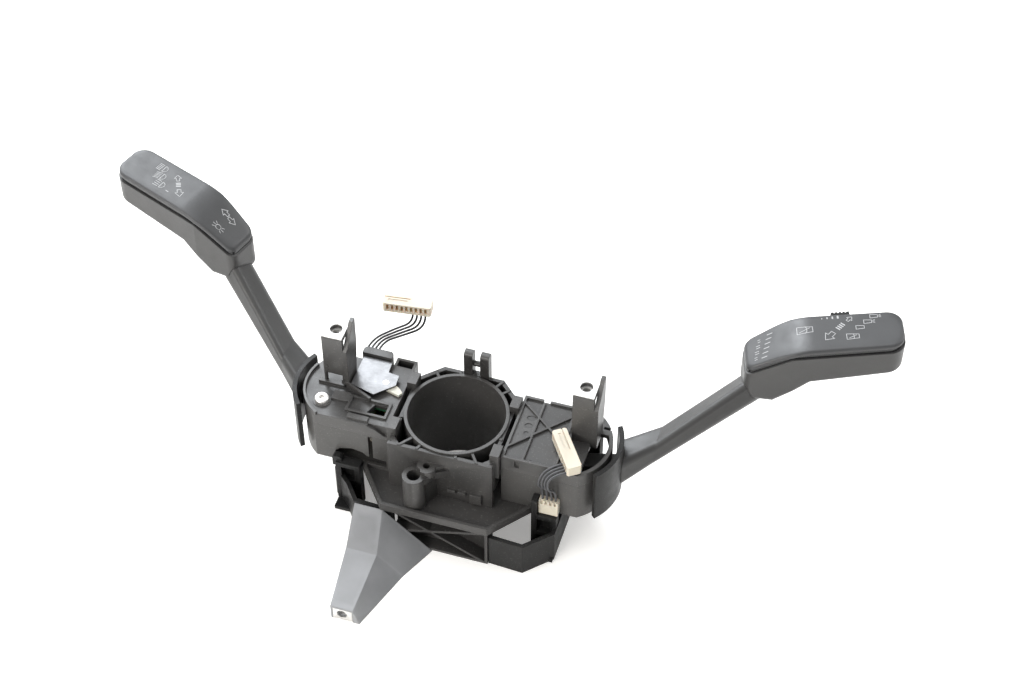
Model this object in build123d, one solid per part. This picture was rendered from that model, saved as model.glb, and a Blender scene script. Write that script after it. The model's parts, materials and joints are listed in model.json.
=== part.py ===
"""Combination stalk switch: column sleeve, lower bracket, two switch modules and their stalks.

Millimetres. The origin is the centre of the column bore at its front rim, +Z points along the bore
towards the driver, +Y is up in the vehicle and +X points to the wiper stalk. The turn-signal side is
the mirror image of the wiper side, except where a function says otherwise.
"""

import math
import os

from build123d import *

os.makedirs("parts", exist_ok=True)

# ---------------------------------------------------------------- driving dimensions
FLOOR_Z = -60.0              # level that the foot and the cradle stand on

# Column sleeve and the collar round it
BORE_D = 50.0
SLEEVE_WALL = 1.8
SLEEVE_LIFT = 0.4            # sleeve's lower rim above the floor
COLLAR_X = 27.5              # half width of the collar's straight back and front
COLLAR_BACK_Y = 29.0
COLLAR_FRONT_Y = -28.0
COLLAR_CHAMFER = 11.5
COLLAR_WALL = 2.0
COLLAR_TOP_Z = -1.0
RIB_T = 1.4
RIB_DEPTH = 14.0
RIB_ANGLES = (128, 104, 60, 48, -19, -55, -73, -114, -128, -160)

# Upright ears behind the sleeve
EAR_W = 4.7
EAR_GAP = 4.0
EAR_X = 1.7                  # middle of the pair
EAR_TOP_Z = 15.0
EAR_T = 5.0
EAR_PIN_D = 3.0

# Screw boss in front of the sleeve
BOSS_X, BOSS_Y = -11.0, -36.0
BOSS_TOP_Z = -11.0
BOSS_D = 11.6
BOSS_HOLE_D = 6.8
EAR_HOLE_D = 3.8             # small hole in the strap between sleeve and boss
STRAP_T = 4.5

# Tray under the modules
TRAY_TOP_Z = -33.0
TRAY_T = 2.2
LIP_H = 2.6
LIP_T = 1.8
TRAY_LEFT_X, TRAY_RIGHT_X = -43.5, 46.8
TRAY_FRONT_Y = -44.0
TRAY_BACK_Y = 30.5
TRAY_FLAT_X0, TRAY_FLAT_X1 = -27.0, 29.5   # ends of the tray's straight front edge
TRAY_CORNER_Y = -23.0

# Cradle under the tray
CRADLE_WALL = 2.2
CRADLE_RIGHT_X = 61.0
CRADLE_LEFT_X = -60.0
CRADLE_LIP = 8.0             # width of the flange the cradle stands on
CRADLE_LOW_H = 21.0          # height of the cradle wall beside the tray
TRUSS_Y = -36.0              # recessed front wall that carries the diagonal ribs
TRUSS_RIB_T = 1.5

# Towers that reach up from the cradle in front of the modules
TOWER_BAR = 3.0
TOWER_W = 13.2
TOWER_RIGHT_X = 47.4
TOWER_LEFT_X = -57.5
TOWER_T = 4.8
TOWER_GAP = 0.5              # between a tower and the module behind it
TOWER_PANEL_T = 1.2          # thin panel behind a tower's windows
TOWER_LEFT_TOP_Z = -29.0
TOWER_RIGHT_TOP_Z = -21.0    # the right tower's upright beside the wire comb
TOWER_BAR_Z = -35.0          # the right tower's upper bar

# Foot leg
LEG_FOOT_Y = -97.0
LEG_WALL = 2.2
FOOT_HOLE_D = 5.4
FOOT_TOP_Z = -50.5

# Switch modules (given for the +X side)
MODULE_IN_X = 30.0
MODULE_Y = 21.0              # half depth
MODULE_WALL = 2.0
MODULE_FLOOR_Z = TRAY_TOP_Z
SEAM_Z = -8.0                # parting line between cover and housing
COVER_T = 2.4
RIB_H = 1.2
END_R = 25.0                 # rounded end of the module about the turn axis
COVER_X = 58.0               # outer edge of the flat cover plate
END_OPEN_X = 70.0            # start of the wiper cover's open end
RAIL_Y = 8.6                 # rail across the open end
RAIL_W = 3.4
RIM_H = 1.6                  # raised rims of the turn-signal cover
SEAT_Z = 0.3                 # level that the cover screw sits on
MARK_DEPTH = 0.3             # oval marks sunk into the wiper cover
POCKET_X0 = 32.6
POCKET_Y0 = -15.2
WINDOW_SILL = 0.6            # window at the foot of the turn-signal post
WINDOW_H = 7.0
SLOT_FROM, SLOT_TO = -24.0, 50.0   # slot for the lever, degrees about the turn axis
SLOT_LOW_Z = -30.5

# Stalk mechanism
PIVOT_X = 56.0
PIVOT_Z = -18.0
HUB_Y = 8.6                  # half width of the fork
CHEEK_T = 3.0
FORK_X = 7.5                 # half length of the fork
FORK_H = 18.8                # height of the fork about the lever pin
FORK_PLATE_T = 3.0
EYE_GAP = 1.2                # round the lever's eye at the back of the fork
TRUNNION_D = 8.0
LEVER_PIN_D = 4.0
PIN_FIT = 0.05               # radial running clearance of pins and trunnions
SIDE_FIT = 0.3               # side clearance between parts that turn on each other
DETENT_R = 15.5              # detent plunger's distance from the turn axis
PLUNGER_D = 4.6
PLUNGER_L = 7.2
PLUNGER_TRAVEL = 1.0
BARREL_D = 8.4
SPRING_L = 5.6
TRACK_W = 8.0                # width of the detent track on the housing floor
TRACK_T = 2.8
TRACK_SWEEP = 30.0           # half angle of the detent track
NOTCH_R = 1.3
TURN_NOTCHES = (-11.0, 0.0, 11.0)
WIPE_NOTCHES = (-6.0, 0.0, 6.0, 12.0, 17.0)

# Stalks
SHIELD_R = 30.5              # outer radius of the dust shield about the turn axis
SHIELD_T = 2.4
SHIELD_FROM, SHIELD_TO = -42.0, 30.0
SHIELD_TOP_Z, SHIELD_LOW_Z = 2.0, -31.0
LEVER_W, LEVER_H = 9.0, 10.0
COLLAR_START_X = PIVOT_X + SHIELD_R - 2.0
SHAFT_X0, SHAFT_X1 = 100.0, 150.0  # shaft sections stand in planes square to X
SHAFT_Y0, SHAFT_Z0 = 20.5, -12.5   # middle of the section at SHAFT_X0
SHAFT_PLAN_DEG = 38.7
SHAFT_RISE = 0.62                  # rise for each millimetre along X
SHAFT_W0, SHAFT_W1 = 18.4, 19.4
SHAFT_H0, SHAFT_H1 = 13.5, 19.0
HEAD_PLAN_DEG = 17.0
HEAD_U0 = 143.0                    # root of the head
HEAD_ROOT_L = 22.5                 # root to bend, and bend to tip
HEAD_TIP_L = 54.7
HEAD_UB = HEAD_U0 + HEAD_ROOT_L
HEAD_U1 = HEAD_UB + HEAD_TIP_L
HEAD_ROOT_W = 19.3
HEAD_BEND_W = 24.9
HEAD_TIP_W = 24.0
HEAD_ROOT_R = 5.0                  # plan radius of the head's corners
HEAD_TIP_R = 8.0
HEAD_BELLY_R = 3.0                 # radius along the underside of the shell
HEAD_V = 10.5                      # centreline of the head across HEAD_PLAN_DEG
HEAD_ROOT_Z = 33.0
HEAD_BEND_Z = 48.0
HEAD_TIP_Z = 53.8
HEAD_TIP_H = 20.0
HEAD_BEND_H = 22.5
HEAD_ROOT_LOW_Z = 10.5
FASCIA_T = 2.4
FASCIA_R = 1.4                     # rounding of the face plate's upper edge
FASCIA_INSET = 0.3                 # face plate set in from the shell's outline
FASCIA_TIP_GAP = 0.5               # face plate's end set back from the shell's tip
BAND_T = 2.8
BAND_INSET = 0.9
SHELL_WALL = 2.0

# Interval slider on the wiper head
SLIDER_U = 190.0
SLIDER_L = 9.0
SLIDER_TRAVEL = 9.0
SLIDER_PROUD = 2.2

# Screw posts for the column trim
POST_X0, POST_X1 = 60.0, 71.0
POST_Y0, POST_Y1 = 0.5, 14.0
POST_WALL = 2.2
TAB_TOP_Z = 33.6
TAB_T = 2.0
CLIP_T = 0.8
TRIM_HOLE_D = 6.6
TRIM_HOLE_Y = 7.2
TRIM_HOLE_X = 65.2

# Connectors and wires
PITCH = 2.5
CONTACTS = 9
WIRE_D = 1.2
WIRE_BEND = 0.45             # share of the shorter run that a bend may take up
CONNECTOR_END = 1.5          # housing beyond the last terminal's cell
CONNECTOR_D = 7.5
CONNECTOR_H = 6.0
CONNECTOR_CHAMFER = 0.8
TERMINAL_W = 1.3
GUIDE_T = 4.5
COMB_X0 = 50.8
COMB_W = 9.9
COMB_TOP_Z = -21.5
COMB_LOW_Z = -31.5
COMB_T = 3.5
COMB_PITCH = 2.3

# Cover screw
SCREW_X = 68.0
SCREW_Y = -12.0
SCREW_HOLE_D = 3.2
SCREW_HEAD_D = 7.4
SCREW_HEAD_H = 2.4

# Contact board under a cover
BOARD_T = 1.6
BOARD_FRONT_LEFT = -6.6      # the turn-signal side's board ends behind the cover's pocket

# Self-cancelling mechanism on the turn-signal cover
PLATE_Z = 2.0
PLATE_T = 1.0
PAWL_PIN_X = 40.0
PAWL_PIN_Y = 6.5
PAWL_PIN_D = 3.0

# Spring nuts
NUT_D = 4.2


# ---------------------------------------------------------------- helpers
def block(x0, x1, y0, y1, z0, z1):
    """Box between two corners."""
    centre = Pos((x0 + x1) / 2, (y0 + y1) / 2, (z0 + z1) / 2)
    return centre * Box(abs(x1 - x0), abs(y1 - y0), abs(z1 - z0))


def prism(points, z0, z1):
    """Plan outline pushed from z0 up to z1."""
    outline = make_face(Polyline(*points, close=True))
    return Pos(0, 0, z0) * extrude(outline, z1 - z0)


def rod(x, y, diameter, z0, z1):
    """Upright round bar."""
    return Pos(x, y, (z0 + z1) / 2) * Cylinder(diameter / 2, z1 - z0)


def rod_x(x0, x1, y, z, diameter):
    """Round bar along X."""
    return Pos((x0 + x1) / 2, y, z) * Rot(0, 90, 0) * Cylinder(diameter / 2, x1 - x0)


def rod_y(x, y0, y1, z, diameter):
    """Round bar along Y."""
    return Pos(x, (y0 + y1) / 2, z) * Rot(90, 0, 0) * Cylinder(diameter / 2, y1 - y0)


def sector(radius, from_deg, to_deg, z0, z1, x=PIVOT_X, y=0.0):
    """Pie slice about an upright axis, wide enough to cut a ring with."""
    steps = max(2, int(abs(to_deg - from_deg) // 30) + 1)
    angles = [math.radians(from_deg + (to_deg - from_deg) * i / steps) for i in range(steps + 1)]
    reach = radius * 1.2
    rim = [(x + reach * math.cos(a), y + reach * math.sin(a)) for a in angles]
    return prism([(x, y)] + rim, z0, z1)


def ring(r_out, r_in, z0, z1, x=0.0, y=0.0):
    """Upright tube."""
    return rod(x, y, 2 * r_out, z0, z1) - rod(x, y, 2 * r_in, z0 - 1, z1 + 1)


def mirrored(shape):
    """The same piece for the turn-signal side."""
    return mirror(shape, about=Plane.YZ)


def rib(x0, y0, x1, y1, thickness, z0, z1):
    """Straight upright plate between two plan points."""
    length = math.hypot(x1 - x0, y1 - y0)
    angle = math.degrees(math.atan2(y1 - y0, x1 - x0))
    place = Pos((x0 + x1) / 2, (y0 + y1) / 2, (z0 + z1) / 2)
    return place * Rot(0, 0, angle) * Box(length, thickness, z1 - z0)


def write(name, shape):
    """One STEP file for each named piece."""
    export_step(shape, f"parts/{name}.step")


# ---------------------------------------------------------------- carrier
SLEEVE_R = BORE_D / 2 + SLEEVE_WALL
SLEEVE_LOW_Z = FLOOR_Z + SLEEVE_LIFT


def collar_outline(inset):
    """Eight-sided plan of the collar, moved in by the inset."""
    x, back, front = COLLAR_X - inset, COLLAR_BACK_Y - inset, COLLAR_FRONT_Y + inset
    cut = COLLAR_CHAMFER - inset * math.tan(math.radians(22.5))
    small = cut / 3
    return [
        (-x, front + small), (-x + small, front), (x - small, front), (x, front + small),
        (x, back - cut), (x - cut, back), (-x + cut, back), (-x, back - cut),
    ]


def carrier():
    """Sleeve, ribbed collar, ears, front panel and screw boss in one moulding."""
    low = COLLAR_TOP_Z - 22.0
    outline = prism(collar_outline(0), low, COLLAR_TOP_Z)
    collar = outline - prism(collar_outline(COLLAR_WALL), low - 1, COLLAR_TOP_Z + 1)
    ribs = [
        Rot(0, 0, angle) * block(SLEEVE_R - 0.5, 45, -RIB_T / 2, RIB_T / 2,
                                 COLLAR_TOP_Z - RIB_DEPTH, COLLAR_TOP_Z + 0.4)
        for angle in RIB_ANGLES
    ]
    inside = prism(collar_outline(0.4), low, 0)
    body = rod(0, 0, 2 * SLEEVE_R, SLEEVE_LOW_Z, 0) + collar
    for piece in ribs:
        body += piece & inside
    body += front_panel() + boss() + ears() + guide_posts()
    hole = rod(0, 0, BORE_D, SLEEVE_LOW_Z - 1, 20)
    bosses = rod(BOSS_X, BOSS_Y, BOSS_HOLE_D, TRAY_TOP_Z - 5, 0)
    strap_hole = rod(*strap_hole_centre(), EAR_HOLE_D, BOSS_TOP_Z - 12, 0)
    return body - hole - bosses - strap_hole


def strap_hole_centre():
    """Small hole between the collar's front and the boss."""
    return (BOSS_X + 5.2, (BOSS_Y + COLLAR_FRONT_Y) / 2 + 1.4)


def boss():
    """Screw boss on the tray, tied to the collar by a strap."""
    post = rod(BOSS_X, BOSS_Y, BOSS_D, TRAY_TOP_Z, BOSS_TOP_Z)
    ear_x, ear_y = strap_hole_centre()
    ear = rod(ear_x, ear_y, EAR_HOLE_D + 6, BOSS_TOP_Z + 3 - STRAP_T, BOSS_TOP_Z + 3)
    strap = prism(
        [(BOSS_X - 2, COLLAR_FRONT_Y + 1), (BOSS_X - 3.5, BOSS_Y), (BOSS_X + 5, BOSS_Y - 2.5),
         (ear_x + 4.6, ear_y - 1), (ear_x + 13, COLLAR_FRONT_Y + 1)],
        BOSS_TOP_Z - STRAP_T, BOSS_TOP_Z,
    )
    web = prism(
        [(ear_x - 5, COLLAR_FRONT_Y + 1), (ear_x - 4.6, ear_y), (ear_x + 4.6, ear_y),
         (ear_x + 10, COLLAR_FRONT_Y + 1)],
        BOSS_TOP_Z + 3 - STRAP_T, BOSS_TOP_Z + 3,
    )
    gusset = rib(BOSS_X + BOSS_D / 2 - 1, BOSS_Y + 1, ear_x + 4, COLLAR_FRONT_Y + 1, RIB_T,
                 TRAY_TOP_Z, BOSS_TOP_Z - 1)
    return post + ear + strap + web + gusset


def front_panel():
    """Wall under the front of the collar, down to the tray."""
    top = COLLAR_TOP_Z
    wall = block(-COLLAR_X, COLLAR_X, COLLAR_FRONT_Y, COLLAR_FRONT_Y + COLLAR_WALL, TRAY_TOP_Z, top)
    hooks = []
    for x in (4.0, 9.5):
        low = TRAY_TOP_Z + 6
        hooks.append(block(x, x + 4.2, COLLAR_FRONT_Y - 1.2, COLLAR_FRONT_Y + 1, low, low + 2))
    latch = block(16, 22, COLLAR_FRONT_Y - 1.6, COLLAR_FRONT_Y + 1, TRAY_TOP_Z + 2, TRAY_TOP_Z + 8.5)
    return wall + hooks[0] + hooks[1] + latch


def ears():
    """Pair of upright lugs behind the sleeve with a cross pin between them."""
    lugs = None
    front, back = COLLAR_BACK_Y - COLLAR_WALL, COLLAR_BACK_Y + EAR_T - COLLAR_WALL
    low = COLLAR_TOP_Z - 18
    for side in (-1, 1):
        x0 = EAR_X + side * EAR_GAP / 2
        x1 = x0 + side * EAR_W
        lug = block(x0, x1, front, back, low, EAR_TOP_Z)
        tops = lug.edges().group_by(Axis.Z)[-1].filter_by(Axis.X)
        lug = fillet(tops, EAR_T * 0.4)
        lugs = lug if lugs is None else lugs + lug
    web = block(EAR_X - EAR_GAP, EAR_X + EAR_GAP, front, back - 1.5, low, COLLAR_TOP_Z + 1)
    reach = EAR_GAP / 2 + 1
    pin = rod_x(EAR_X - reach, EAR_X + reach, back - EAR_T / 2, EAR_TOP_Z / 2 - 1, EAR_PIN_D)
    return lugs + web + pin


def guide_posts():
    """Four stub posts beside the sleeve that the modules slide against."""
    posts = None
    for x, y in ((-1, 13.3), (1, 13.3), (-1, -18.0), (1, -20.0)):
        x0 = x * (COLLAR_X - 2.6)
        x1 = x * (MODULE_IN_X - 0.3)
        post = block(min(x0, x1), max(x0, x1), y - 4, y + 4, COLLAR_TOP_Z - 12, 3.5)
        posts = post if posts is None else posts + post
    return posts - rod(0, 0, 2 * SLEEVE_R - 1, -30, 10)


# ---------------------------------------------------------------- lower bracket
TRAY_LOW_Z = TRAY_TOP_Z - TRAY_T
SLEEVE_CLEAR = 0.3


def tray_outline(inset=0.0):
    """Plan of the tray: straight front, slanting corners."""
    return [
        (TRAY_LEFT_X + inset, TRAY_CORNER_Y + inset * 0.4),
        (TRAY_FLAT_X0 + inset * 0.4, TRAY_FRONT_Y + inset),
        (TRAY_FLAT_X1 - inset * 0.4, TRAY_FRONT_Y + inset),
        (TRAY_RIGHT_X - inset, TRAY_CORNER_Y + inset * 0.4),
        (TRAY_RIGHT_X - inset, TRAY_BACK_Y - inset),
        (TRAY_LEFT_X + inset, TRAY_BACK_Y - inset),
    ]


def tray():
    """Tray with a raised lip, its recessed front wall and the diagonal ribs below."""
    plate = prism(tray_outline(), TRAY_LOW_Z, TRAY_TOP_Z)
    lip = prism(tray_outline(), TRAY_LOW_Z, TRAY_TOP_Z + LIP_H)
    lip -= prism(tray_outline(LIP_T), TRAY_LOW_Z - 1, TRAY_TOP_Z + LIP_H + 1)
    lip = lip & block(-80, 80, -60, -MODULE_Y - SLEEVE_CLEAR, -60, 0)
    body = plate + lip
    wall_x0, wall_x1 = TRAY_FLAT_X0 + 6, TRAY_FLAT_X1
    wall = block(wall_x0, wall_x1, TRUSS_Y, TRUSS_Y + CRADLE_WALL, FLOOR_Z, TRAY_LOW_Z)
    sill = block(wall_x0, wall_x1, TRAY_FRONT_Y + 1, TRUSS_Y + 1, FLOOR_Z, FLOOR_Z + TRUSS_RIB_T)
    end = block(wall_x1 - TRUSS_RIB_T, wall_x1, TRAY_FRONT_Y + 1, TRUSS_Y + 1, FLOOR_Z, TRAY_LOW_Z)
    body += wall + sill + end
    bay = block(wall_x0, wall_x1, TRAY_FRONT_Y + 1, TRUSS_Y + 1, FLOOR_Z, TRAY_LOW_Z)
    for z0, z1 in ((TRAY_LOW_Z, FLOOR_Z), (FLOOR_Z + 9, TRAY_LOW_Z)):
        body += diagonal(wall_x0, z0, wall_x1, z1) & bay
    body -= rod(0, 0, 2 * (SLEEVE_R + SLEEVE_CLEAR), FLOOR_Z - 1, 0)
    return body


def diagonal(x0, z0, x1, z1):
    """Slanting rib on the front of the truss wall."""
    length = math.hypot(x1 - x0, z1 - z0) + 12
    angle = math.degrees(math.atan2(z1 - z0, x1 - x0))
    y0, y1 = TRAY_FRONT_Y + 1, TRUSS_Y + 1
    place = Pos((x0 + x1) / 2, (y0 + y1) / 2, (z0 + z1) / 2)
    return place * Rot(0, -angle, 0) * Box(length, y1 - y0, TRUSS_RIB_T)


CRADLE_PLAN = (
    (CRADLE_LEFT_X, -22), (-50, -31), (-43, -40), (TRAY_FLAT_X0 + 6, -41), (TRAY_FLAT_X1, -42),
    (48, -43), (CRADLE_RIGHT_X, -30), (CRADLE_RIGHT_X, TRAY_BACK_Y), (CRADLE_LEFT_X, TRAY_BACK_Y),
)


def cradle_ring(outer, inner, z0, z1):
    """Band that follows the cradle's plan between two insets."""
    outline = make_face(Polyline(*CRADLE_PLAN, close=True))
    outside = offset(outline, -outer, kind=Kind.INTERSECTION) if outer else outline
    hole = offset(outline, -inner, kind=Kind.INTERSECTION)
    return Pos(0, 0, z0) * extrude(outside - hole, z1 - z0)


def cradle():
    """Low wall round the underside, with the flange that the part stands on."""
    top = FLOOR_Z + CRADLE_LOW_H
    wall = cradle_ring(0, CRADLE_WALL, FLOOR_Z, top)
    wall += cradle_ring(0, CRADLE_LIP, FLOOR_Z, FLOOR_Z + CRADLE_WALL)
    gap = SLEEVE_CLEAR
    wall -= block(TRAY_FLAT_X0 + 6 - gap, TRAY_FLAT_X1 + gap, -60, -20, FLOOR_Z - 1, top + 1)
    return wall - rod(0, 0, 2 * (SLEEVE_R + SLEEVE_CLEAR), FLOOR_Z - 1, 0)


def tower(x, top_left, top_right, bars):
    """Two uprights and cross bars in front of a module, with a thin panel behind the windows."""
    y1 = -MODULE_Y - TOWER_GAP
    y0 = y1 - TOWER_T
    x1 = x + TOWER_W
    body = block(x, x + TOWER_BAR, y0, y1, FLOOR_Z, top_left)
    body += block(x1 - TOWER_BAR, x1, y0, y1, FLOOR_Z, top_right)
    body += block(x, x1, y1 - TOWER_PANEL_T, y1, FLOOR_Z, bars[-1] + TOWER_BAR)
    for z in bars:
        body += block(x, x1, y0, y1, z, z + TOWER_BAR)
    return body + block(x, x1, y0 - 6, y1, FLOOR_Z, FLOOR_Z + CRADLE_WALL)


def tower_lug():
    """Small lug on the outer side of the left tower's head."""
    y1 = -MODULE_Y - TOWER_GAP
    x1 = TOWER_LEFT_X + TOWER_BAR
    lug = block(TOWER_LEFT_X - 2, x1, y1 - 3.5, y1, TOWER_LEFT_TOP_Z - 4, TOWER_LEFT_TOP_Z + 3)
    return chamfer(lug.edges().group_by(Axis.Z)[-1].filter_by(Axis.Y), 1.0)


def cradle_frame():
    """Cradle wall with the two towers and the lugs that hold it under the tray."""
    low = FLOOR_Z + 6
    middle_left, middle_right = -44.0, -47.5
    right_bars = (low, middle_right, TOWER_BAR_Z)
    left_bars = (low, middle_left, TOWER_LEFT_TOP_Z - TOWER_BAR)
    body = cradle() + tower_lug()
    body += tower(TOWER_RIGHT_X, TOWER_RIGHT_TOP_Z, TOWER_BAR_Z + TOWER_BAR, right_bars)
    body += tower(TOWER_LEFT_X, TOWER_LEFT_TOP_Z, TOWER_LEFT_TOP_Z, left_bars)
    for x in (TRAY_LEFT_X + 3, TRAY_RIGHT_X - 9):
        body += block(x, x + 6, TRAY_BACK_Y - 6, TRAY_BACK_Y, FLOOR_Z, TRAY_LOW_Z)
    return body


def leg_section(y, left, ridge, web, top, inset=0.0):
    """Four-cornered section of the leg, square to Y."""
    low = FLOOR_Z - (2.0 if inset else 0.0)
    corners = [(left + inset, low), (left + inset, top - inset), (ridge - inset * 0.6, top - inset),
               (web - inset * 1.5, low)]
    plane = Plane(origin=(0, y, 0), x_dir=(1, 0, 0), z_dir=(0, -1, 0))
    return plane * make_face(Polyline(*corners, close=True))


LEG_SECTIONS = (
    # distance in front, left edge, ridge, foot of the web, top
    (LEG_FOOT_Y, -35.0, -23.0, -20.0, FOOT_TOP_Z),
    (-63.0, -39.0, -22.6, -9.0, -47.5),
    (TRAY_FRONT_Y + 0.6, -41.0, -26.0, 0.0, TRAY_LOW_Z - 0.4),
)


def leg():
    """Hollow channel from the cradle to the foot, with a side web that fans out."""
    outer = loft([leg_section(*s) for s in LEG_SECTIONS], ruled=True)
    hollow = loft([leg_section(*s, inset=LEG_WALL) for s in LEG_SECTIONS], ruled=True)
    keep = block(-80, 80, LEG_FOOT_Y + LEG_WALL, 0, FLOOR_Z - 5, 0)
    body = outer - (hollow & keep)
    left, ridge = LEG_SECTIONS[0][1], LEG_SECTIONS[0][2]
    middle = (left + ridge) / 2
    x0, x1, y = left + 1, ridge - 0.5, LEG_FOOT_Y
    slot = block(x0, x1, y - 1, y + CLIP_T, FLOOR_Z - 1, FOOT_TOP_Z - 1.2)
    undercut = block(x0, x1, y - 1, y + LEG_WALL + 1, FLOOR_Z - 1, FLOOR_Z + 1.6)
    hole = rod_y(middle, y - 1, y + 10, foot_hole_z(), FOOT_HOLE_D)
    return body - slot - undercut - hole


def foot_hole_z():
    """Height of the hole in the leg's end wall."""
    return (FLOOR_Z + FOOT_TOP_Z) / 2


# ---------------------------------------------------------------- switch modules
def module_plan(inset=0.0):
    """Plan of a module: box towards the column, rounded about the turn axis outside."""
    y = MODULE_Y - inset
    box = block(MODULE_IN_X + inset, PIVOT_X, -y, y, -1, 1)
    end = rod(PIVOT_X, 0, 2 * (END_R - inset), -1, 1) & block(PIVOT_X - 1, 120, -y, y, -2, 2)
    return (box + end).faces().sort_by(Axis.Z)[-1]


def module_solid(z0, z1, inset=0.0):
    """Module plan pushed between two heights."""
    face = module_plan(inset)
    return Pos(0, 0, z0 - face.center().Z) * extrude(face, z1 - z0, dir=(0, 0, 1))


def housing():
    """Lower shell of a module, open at the top, with the slot the lever swings in."""
    body = module_solid(MODULE_FLOOR_Z, SEAM_Z)
    body -= module_solid(MODULE_FLOOR_Z + MODULE_WALL, SEAM_Z + 1, MODULE_WALL)
    body -= sector(END_R + 1, SLOT_FROM, SLOT_TO, SLOT_LOW_Z, SEAM_Z + 1) - rod(
        PIVOT_X, 0, 2 * (END_R - MODULE_WALL - 1), -60, 10)
    bearing_top = FORK_LOW_Z - SIDE_FIT
    body += rod(PIVOT_X, 0, TRUNNION_D + 5, MODULE_FLOOR_Z, bearing_top)
    return body - rod(PIVOT_X, 0, TRUNNION_D + 2 * PIN_FIT, MODULE_FLOOR_Z + 1, 0)


def cap_shell(open_end):
    """Upper shell of a module: flat top, skirt and the bearing over the fork."""
    body = module_solid(SEAM_Z, 0) - module_solid(SEAM_Z - 1, -COVER_T, MODULE_WALL)
    if open_end:
        window = block(END_OPEN_X, PIVOT_X + END_R, -MODULE_Y, RAIL_Y, -COVER_T - 1, 1)
        body -= window & module_solid(-COVER_T - 2, 2, MODULE_WALL)
    web = rod(PIVOT_X, 0, TRUNNION_D + 6, FORK_TOP_Z + SIDE_FIT, -COVER_T + 0.5)
    body += web
    return body - rod(PIVOT_X, 0, TRUNNION_D + 2 * PIN_FIT, FORK_TOP_Z - 1, -COVER_T)


def trim_post(fin_outside, window_h=0.0):
    """Upright bracket with the trim screw tab, one side fin and a window at its foot."""
    front = block(POST_X0, POST_X1, POST_Y0, POST_Y0 + POST_WALL, -COVER_T, TAB_TOP_Z - TAB_T)
    tab = block(POST_X0, POST_X1, POST_Y0, POST_Y1, TAB_TOP_Z - TAB_T, TAB_TOP_Z)
    fin_x = POST_X1 if fin_outside else POST_X0 - POST_WALL
    side = Plane(origin=(fin_x, 0, 0), x_dir=(0, 1, 0), z_dir=(1, 0, 0))
    profile = [
        (POST_Y0, -COVER_T), (POST_Y0, TAB_TOP_Z - 8), (POST_Y1 - 3, TAB_TOP_Z + 4),
        (POST_Y1, TAB_TOP_Z + 4), (POST_Y1, TAB_TOP_Z - 12), (POST_Y1 - 3, -COVER_T),
    ]
    fin = extrude(side * make_face(Polyline(*profile, close=True)), POST_WALL)
    post = front + tab + fin - rod(TRIM_HOLE_X, TRIM_HOLE_Y, TRIM_HOLE_D, 0, TAB_TOP_Z + 1)
    if window_h:
        side_bar = POST_WALL / 2
        post -= block(POST_X0 + side_bar, POST_X1 - side_bar, POST_Y0 - 1, POST_Y0 + POST_WALL + 1,
                      WINDOW_SILL, WINDOW_SILL + window_h)
    return post


def cover_border(x0, x1, y0, y1):
    """Raised border of a cover plate."""
    t = RIB_T
    outer = block(x0, x1, y0, y1, -0.5, RIB_H)
    return outer - block(x0 + t, x1 - t, y0 + t, y1 - t, -1, RIB_H + 1)


def right_cover():
    """Ribbed cover of the wiper module with its trim post and open end."""
    body = cap_shell(True) + cover_border(MODULE_IN_X, COVER_X, -MODULE_Y, MODULE_Y)
    inner = block(MODULE_IN_X + 0.5, COVER_X - 0.5, -MODULE_Y + 0.5, MODULE_Y - 0.5, -0.5, RIB_H)
    y = MODULE_Y - 1
    runs = (
        (MODULE_IN_X, 17.6, COVER_X, -4.8), (MODULE_IN_X, -14.6, COVER_X, 15.6),
        (MODULE_IN_X + 10.8, y, MODULE_IN_X + 10.8, -y),
    )
    for x0, y0, x1, y1 in runs:
        body += rib(x0, y0, x1, y1, RIB_T * 0.8, -0.5, RIB_H) & inner
    for y, length, width in ((8.0, 4.8, 3.4), (3.0, 4.4, 3.2), (-2.0, 2.4, 2.2)):
        body -= Pos(MODULE_IN_X + 7.2, y, -MARK_DEPTH) * extrude(Ellipse(length / 2, width / 2), 1)
    body -= block(MODULE_IN_X + 10, MODULE_IN_X + 13.5, MODULE_Y - 1.8, MODULE_Y + 1, -1, RIB_H + 1)
    body -= block(MODULE_IN_X + 7, MODULE_IN_X + 9.2, -MODULE_Y - 1, -MODULE_Y + 1, SEAM_Z + 3, -0.4)
    return body + trim_post(True) - rail_slots()


def rail_slots():
    """Two slots beside the rail at the cover's open end, and the gap under the rail."""
    low = SEAM_Z + 1.5
    past = PIVOT_X + END_R
    y0, y1 = RAIL_Y + RAIL_W, RAIL_Y + RAIL_W + 1.6
    cut = block(POST_X1 + 2.6, POST_X1 + 6.6, y0, y1, low, 1)
    cut += block(POST_X1 + 7.8, past, y0, y1, low, 1)
    return cut + block(POST_X1 + 3.2, past, y0, MODULE_Y, low, -COVER_T)


def end_rim():
    """Raised rim along the rounded end of the turn-signal cover."""
    rim = ring(END_R, END_R - RIB_T, -0.5, RIM_H, PIVOT_X)
    return rim & sector(END_R, -62, 24, -0.5, RIM_H)


def pocket():
    """Outline of the open pocket in the turn-signal cover, drawn a little inside its rim."""
    x0, y0 = POCKET_X0 + RIB_T, POCKET_Y0 + RIB_T
    y1 = BOARD_FRONT_LEFT - 0.2
    outline = [(x0, y0), (x0 + 9.6, y0 + 0.8), (x0 + 7.0, y1), (x0, y1)]
    return prism(outline, -COVER_T - 1, RIM_H + 1)


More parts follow.
